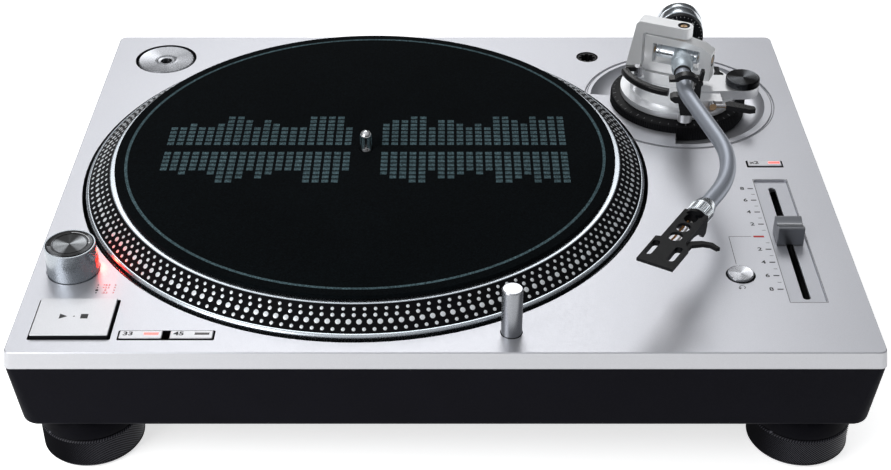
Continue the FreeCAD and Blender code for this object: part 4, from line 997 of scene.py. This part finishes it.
def arm_ring_lines():
    """Painted shade lines on the lips of the ring groove turned into the deck round the arm, up to where it opens.
    """
    lines = Prints(ARM_RING + UP * DECK)
    reach = ARM_RING_R / MM
    # painted shade: grey arcs along the groove's inner and outer lips
    for radius, width in ((reach - 0.75, 0.45), (reach + 0.8, 0.5)):
        lines.arc(radius, width, 103, 419, 150)
    lines.piece("arm_ring_lines", "print_and_painted_shade_grey", "chassis")


def cue_lever():
    """Black lever; its stalk is bronze below and steel above."""
    low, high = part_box("cue_lever")
    grip_x, bronze_y, bronze_z = low.x + 11.5 * MM, high.y - 4 * MM, PIVOT.z - 20 * MM

    def pick(face):
        spot = face.calc_center_median()
        if spot.x > grip_x:
            return 0
        return 1 if spot.y < bronze_y and spot.z < bronze_z else 2

    softened("cue_lever", "black_plastic", 0.35, 3, ("bronze", "small_steel"), pick)


def arm_mount():
    arm_ring_lines()
    for node, slot, width, segments in (
            ("arm_base", "arm_casting", 0.45, 3), ("bearing_bracket", "arm_metal", 1.7, 4),
            ("pivot_screws", "bronze", 0.2, 2), ("arm_rest", "black_plastic", 0.5, 3),
            ("arm_clip", "black_plastic", 0.4, 3), ("height_lock", "skate_black", 0.4, 3)):
        softened(node, slot, width, segments)
    lifter()
    cue_lever()


def anti_skate():
    """Spun black knob with a fluted rim."""
    low, high, reach = turned_size("anti_skate_knob")
    stem, under = 2.0, high - 4.4
    outline = [(0.0, low), (stem, low), (stem, under), (reach, under), (reach, high - 0.5),
               (reach - 0.6, high), (reach - 1.5, high - 0.1), (0.0, high - 0.3)]
    turned("anti_skate_cap", "anti_skate_knob", mm(outline, 0.18), ("skate_black",), 60 * 6,
           ground("anti_skate_knob"), wave=ribbed(reach - 0.2, 0.22, 6))


def counterweight():
    """Plated weight with a groove and a knurled grip, and the black force dial in front."""
    half, reach, bore = 7.6, 15.3, 6.45
    weight = [(bore, -half), (11.0, -half), (11.6, -half - 0.02), (13.6, -half), (reach, -half + 1.2),
              (reach, -1.2), (reach - 0.5, -0.9), (reach - 0.5, -0.4), (reach, -0.1),
              (reach, half - 0.6), (reach - 0.6, half), (bore, half)]
    turned("counterweight_body", "counterweight", mm(weight, 0.3), ("weight_chrome",), 160,
           middle("counterweight"), ARM_DIR)
    half, reach = 2.3, 15.0
    dial = [(bore, -half), (reach, -half), (reach, half - 0.5), (reach - 0.5, half), (11.0, half),
            (10.8, half - 1.2), (bore, half - 1.2)]

    def wave(step, radius, z):
        return -0.25 * MM if radius > (reach - 0.2) * MM and step % 4 < 2 and z < 0.6 * MM else 0.0

    turned("force_dial_ring", "force_dial", mm(dial, 0.2), ("dial_black",), 60 * 4, middle("force_dial"),
           ARM_DIR, wave=wave)
    dial_marks(half)


def dial_marks(half):
    """White ticks and numbers on the face of the force dial."""
    marks = Prints(middle("force_dial") + ARM_DIR * half * MM, -ARM_DIR.cross(UP).normalized(), UP)
    for index in range(35):
        turn = 2 * math.pi * index / 35
        c, s = math.cos(turn), math.sin(turn)
        long_tick = index % 5 == 0
        length, mid = (1.0, 13.9) if long_tick else (0.7, 14.0)
        marks.bar(mid * c, mid * s, length, 0.22, turn)
        if long_tick:
            marks.number(f"{index // 5 * 0.5:g}", 12.2 * c, 12.2 * s, 1.5, turn - math.pi / 2)
    marks.piece("force_dial_marks", "ink_white", BODY_OF["force_dial"])


def collar():
    """Locking collar: chrome ring with a straight-knurled grip and a taper to the tube."""
    half, bore = 7.05, 4.9
    outline = [(bore, -half), (5.6, -half), (6.7, -half + 5.2), (6.7, -half + 5.8), (6.5, -half + 6.0),
               (6.5, half - 1.0), (6.2, half), (bore, half)]

    def wave(step, radius, z):
        grip = 6.45 * MM < radius < 6.55 * MM
        return 0.22 * MM if grip and step % 4 < 2 else 0.0

    turned("collar_grip", "locking_collar", mm(outline, 0.15), ("collar_chrome",), 44 * 4,
           middle("locking_collar"), SHELL_DIR, wave=wave)


def heading(turn):
    """Level direction, in degrees to the left of straight forward."""
    return Vector((-math.sin(math.radians(turn)), -math.cos(math.radians(turn)), 0))


def tube_route():
    """Level route of the tube: straight, bend, straight, bend, straight into the collar."""
    first, middle_way = BEARING + ARM_DIR * 48 * MM, heading(-12.5)
    gap = middle("locking_collar") - first
    cross = middle_way.x * SHELL_DIR.y - middle_way.y * SHELL_DIR.x
    second = first + middle_way * ((gap.x * SHELL_DIR.y - gap.y * SHELL_DIR.x) / cross)
    route = [BEARING + ARM_DIR * 24.8 * MM]
    for corner, before, after, radius in ((first, ARM_DIR, middle_way, 60 * MM),
                                          (second, middle_way, SHELL_DIR, 80 * MM)):
        bend = before.angle(after)
        inward = UP.cross(before) * (1 if before.cross(after).z > 0 else -1)
        centre = corner - before * radius * math.tan(bend / 2) + inward * radius
        for step in range(15):
            turn = bend * step / 14
            route.append(centre - inward * radius * math.cos(turn) + before * radius * math.sin(turn))
    route.append(middle("locking_collar") - SHELL_DIR * 2.0 * MM)
    return route


def arm_tube():
    solid("s_tube", "arm_tube", swept(tube_route(), oval(TUBE_R, TUBE_R, 48, 1.0)), ("tube_metal",))


def arm_housing():
    """Turned housing with its ferrule, the cross trunnions, the rear shaft and the seal ring."""
    profile = [(0, -48), (3.6, -48), (3.6, -12.5), (6.0, -12.4), (6.0, -9.2), (5.2, -8.4), (5.2, -3),
               (5.6, 3.0), (6.2, 7.0), (6.8, 10.0), (6.8, 14.6), (6.5, 14.8), (6.5, 15.4), (6.8, 15.6),
               (6.7, 20.0), (6.1, 23.2), (5.6, 25.0), (0, 25.0)]
    rod = [(0, -15.9), (3.6, -15.9), (4.2, -15.4), (4.2, -13.6), (3.9, -13.4), (3.9, -12.9), (4.2, -12.7),
           (4.2, 8.2), (3.9, 8.4), (3.9, 8.9), (4.2, 9.1), (4.2, 11.1), (3.6, 11.6), (0, 11.6)]
    seal = [(4.62, 24.6), (5.5, 24.6), (5.5, 26.2), (4.62, 26.2)]
    turned("arm_housing_turned", "arm_housing", mm(profile, 0.5), ("housing_metal",), 96, BEARING, ARM_DIR,
           angle=50.0)
    turned("trunnion_rod", "arm_housing", mm(rod, 0.2), ("collar_chrome",), 72, BEARING, TILT_AXIS, False)
    turned("tube_seal", "arm_housing", mm(seal, 0.4), ("bush_rubber",), 72, BEARING, ARM_DIR, False)


def lifter():
    """Round-edged black bar, curved about the arm's pivot, on its web and lift shaft."""
    low, high = turned_size("lifter_bar")[:2]
    level, bend = (high - 2.15) * MM, 36.5 * MM
    turns = [math.radians(191.0 + 60.6 * step / 32) for step in range(33)]
    points = [Vector((*PIVOT.xy, level)) + around(t) * bend for t in turns]
    solid("lift_arc", "lifter_bar", swept(points, oval(2.5, 2.15, 24, 0.55)), ("black_plastic",))
    shaft = Vector((PIVOT.x - 27 * MM, PIVOT.y - 2 * MM, 0))
    shaft_r, shaft_top, web_z = 2.5, high - 0.9, (high - 2.6) * MM
    profile = [(0.0, low), (shaft_r, low), (shaft_r, shaft_top), (0.0, shaft_top)]
    turned("lift_shaft", "lifter_bar", mm(profile, 0.3), ("small_steel",), 48, shaft, UP, False)
    web = swept([shaft + Vector((x * MM, 0, web_z)) for x in (-8, 0)], oval(2.2, 1.7, 24, 0.4))
    solid("lift_web", "lifter_bar", web, ("black_plastic",), False)


def screw_wells():
    """Dark raised rims round the pivot and tilt screws."""
    rim = mm([(2.2, -0.3), (3.8, -0.3), (3.8, 0.12), (2.9, 0.12), (2.3, -0.1)], 0.1)
    top = Vector((*PIVOT.xy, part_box("bearing_bracket")[1].z))
    turned("pivot_screw_rim", "bearing_bracket", rim, ("ring_black",), 64, top, UP, False)
    side = BEARING + TILT_AXIS * 20.5 * MM
    turned("tilt_screw_rim", "gimbal_ring", rim, ("ring_black",), 64, side, TILT_AXIS, False)


def arm():
    softened("gimbal_ring", "arm_metal", 1.5, 4)
    softened("tilt_screws", "bronze", 0.2)
    screw_wells()
    arm_housing()
    arm_tube()
    softened("headshell", "shell_black", 0.3, 3)
    softened("headshell_leads", "lead_copper", 0.0)
    collar()
    counterweight()


# ---- stage --------------------------------------------------------------------------------
def floor():
    made = Surface("studio_floor", (0.93, 0.93, 0.93), 0.6, Emission_Color=(1, 1, 1, 1),
                   Emission_Strength=0.68)
    made.cloudy(30.0, 0.99, 1.01)
    mesh = bpy.data.meshes.new("studio_floor")
    reach = 30.0
    corners = [(-reach, -reach, 0), (reach, -reach, 0), (reach, reach, 0), (-reach, reach, 0)]
    mesh.from_pydata(corners, [], [(0, 1, 2, 3)])
    mesh.materials.append(made.material)
    added("studio_floor", mesh)


def light(name, kind, energy, **settings):
    """New light with its settings."""
    made = bpy.data.lights.new(name, kind)
    made.energy = energy
    for key, value in settings.items():
        setattr(made, key, value)
    return added(name, made)


def strobe_glow():
    """The strobe lamp's red light on the rim and the deck."""
    away = (SPINDLE - KNOB).xy.normalized()
    glow = light("strobe_glow", "POINT", 0.0075, shadow_soft_size=2 * MM, color=(1.0, 0.04, 0.02))
    glow.location = KNOB + Vector((*away, 0)) * 16.5 * MM + UP * (DECK + 6 * MM)


def aim(holder, way):
    holder.rotation_euler = way.to_track_quat("-Z", "Y").to_euler()


def soft_lights():
    """Broad soft light from behind, and a square one near the left that falls off across the deck."""
    aim(light("back_softbox", "SUN", 0.5, angle=math.radians(30.0)), -Vector((-0.05, 0.8, 0.68)))
    spot = Vector((-0.62, -0.55, 0.52))
    left = light("left_softbox", "AREA", 3.4, size=0.5)
    left.location = spot
    aim(left, Vector((0, 0, DECK)) - spot)


def sky():
    """White overhead softness, dimmer to the right and towards the horizon."""
    world = bpy.data.worlds.new("studio")
    world.use_nodes = True
    made = Nodes(world.node_tree)
    way = made.node("SeparateXYZ", {0: made.node("TexCoord").outputs["Generated"]}).outputs
    overhead = made.ranged(way["Z"], 0.15, 0.92, 0.3, 0.85)
    sideways = made.ranged(way["X"], 1.0, 0.5, -0.5, 0.35)
    backdrop = made.tree.nodes["Background"]
    made.tree.links.new(made.calc("MULTIPLY", overhead, sideways), backdrop.inputs["Strength"])
    backdrop.inputs["Color"].default_value = (0.97, 0.98, 1.0, 1.0)
    bpy.context.scene.world = world


def camera():
    lens = bpy.data.cameras.new("photo_angle")
    lens.lens = 62.63
    lens.sensor_width = 36.0
    lens.clip_start = 0.01
    holder = added("photo_angle", lens)
    holder.location = (0.0, -0.79244, 0.57342)
    holder.rotation_euler = (math.radians(55.756), 0.0, 0.0)
    bpy.context.scene.camera = holder


bpy.context.scene.view_settings.view_transform = "Standard"
camera()
floor()
sky()
soft_lights()
strobe_glow()
chassis()
hidden_works()
platter()
strobe_dots()
slipmat()
spindle()
controls()
height_ring()
arm_mount()
anti_skate()
arm()
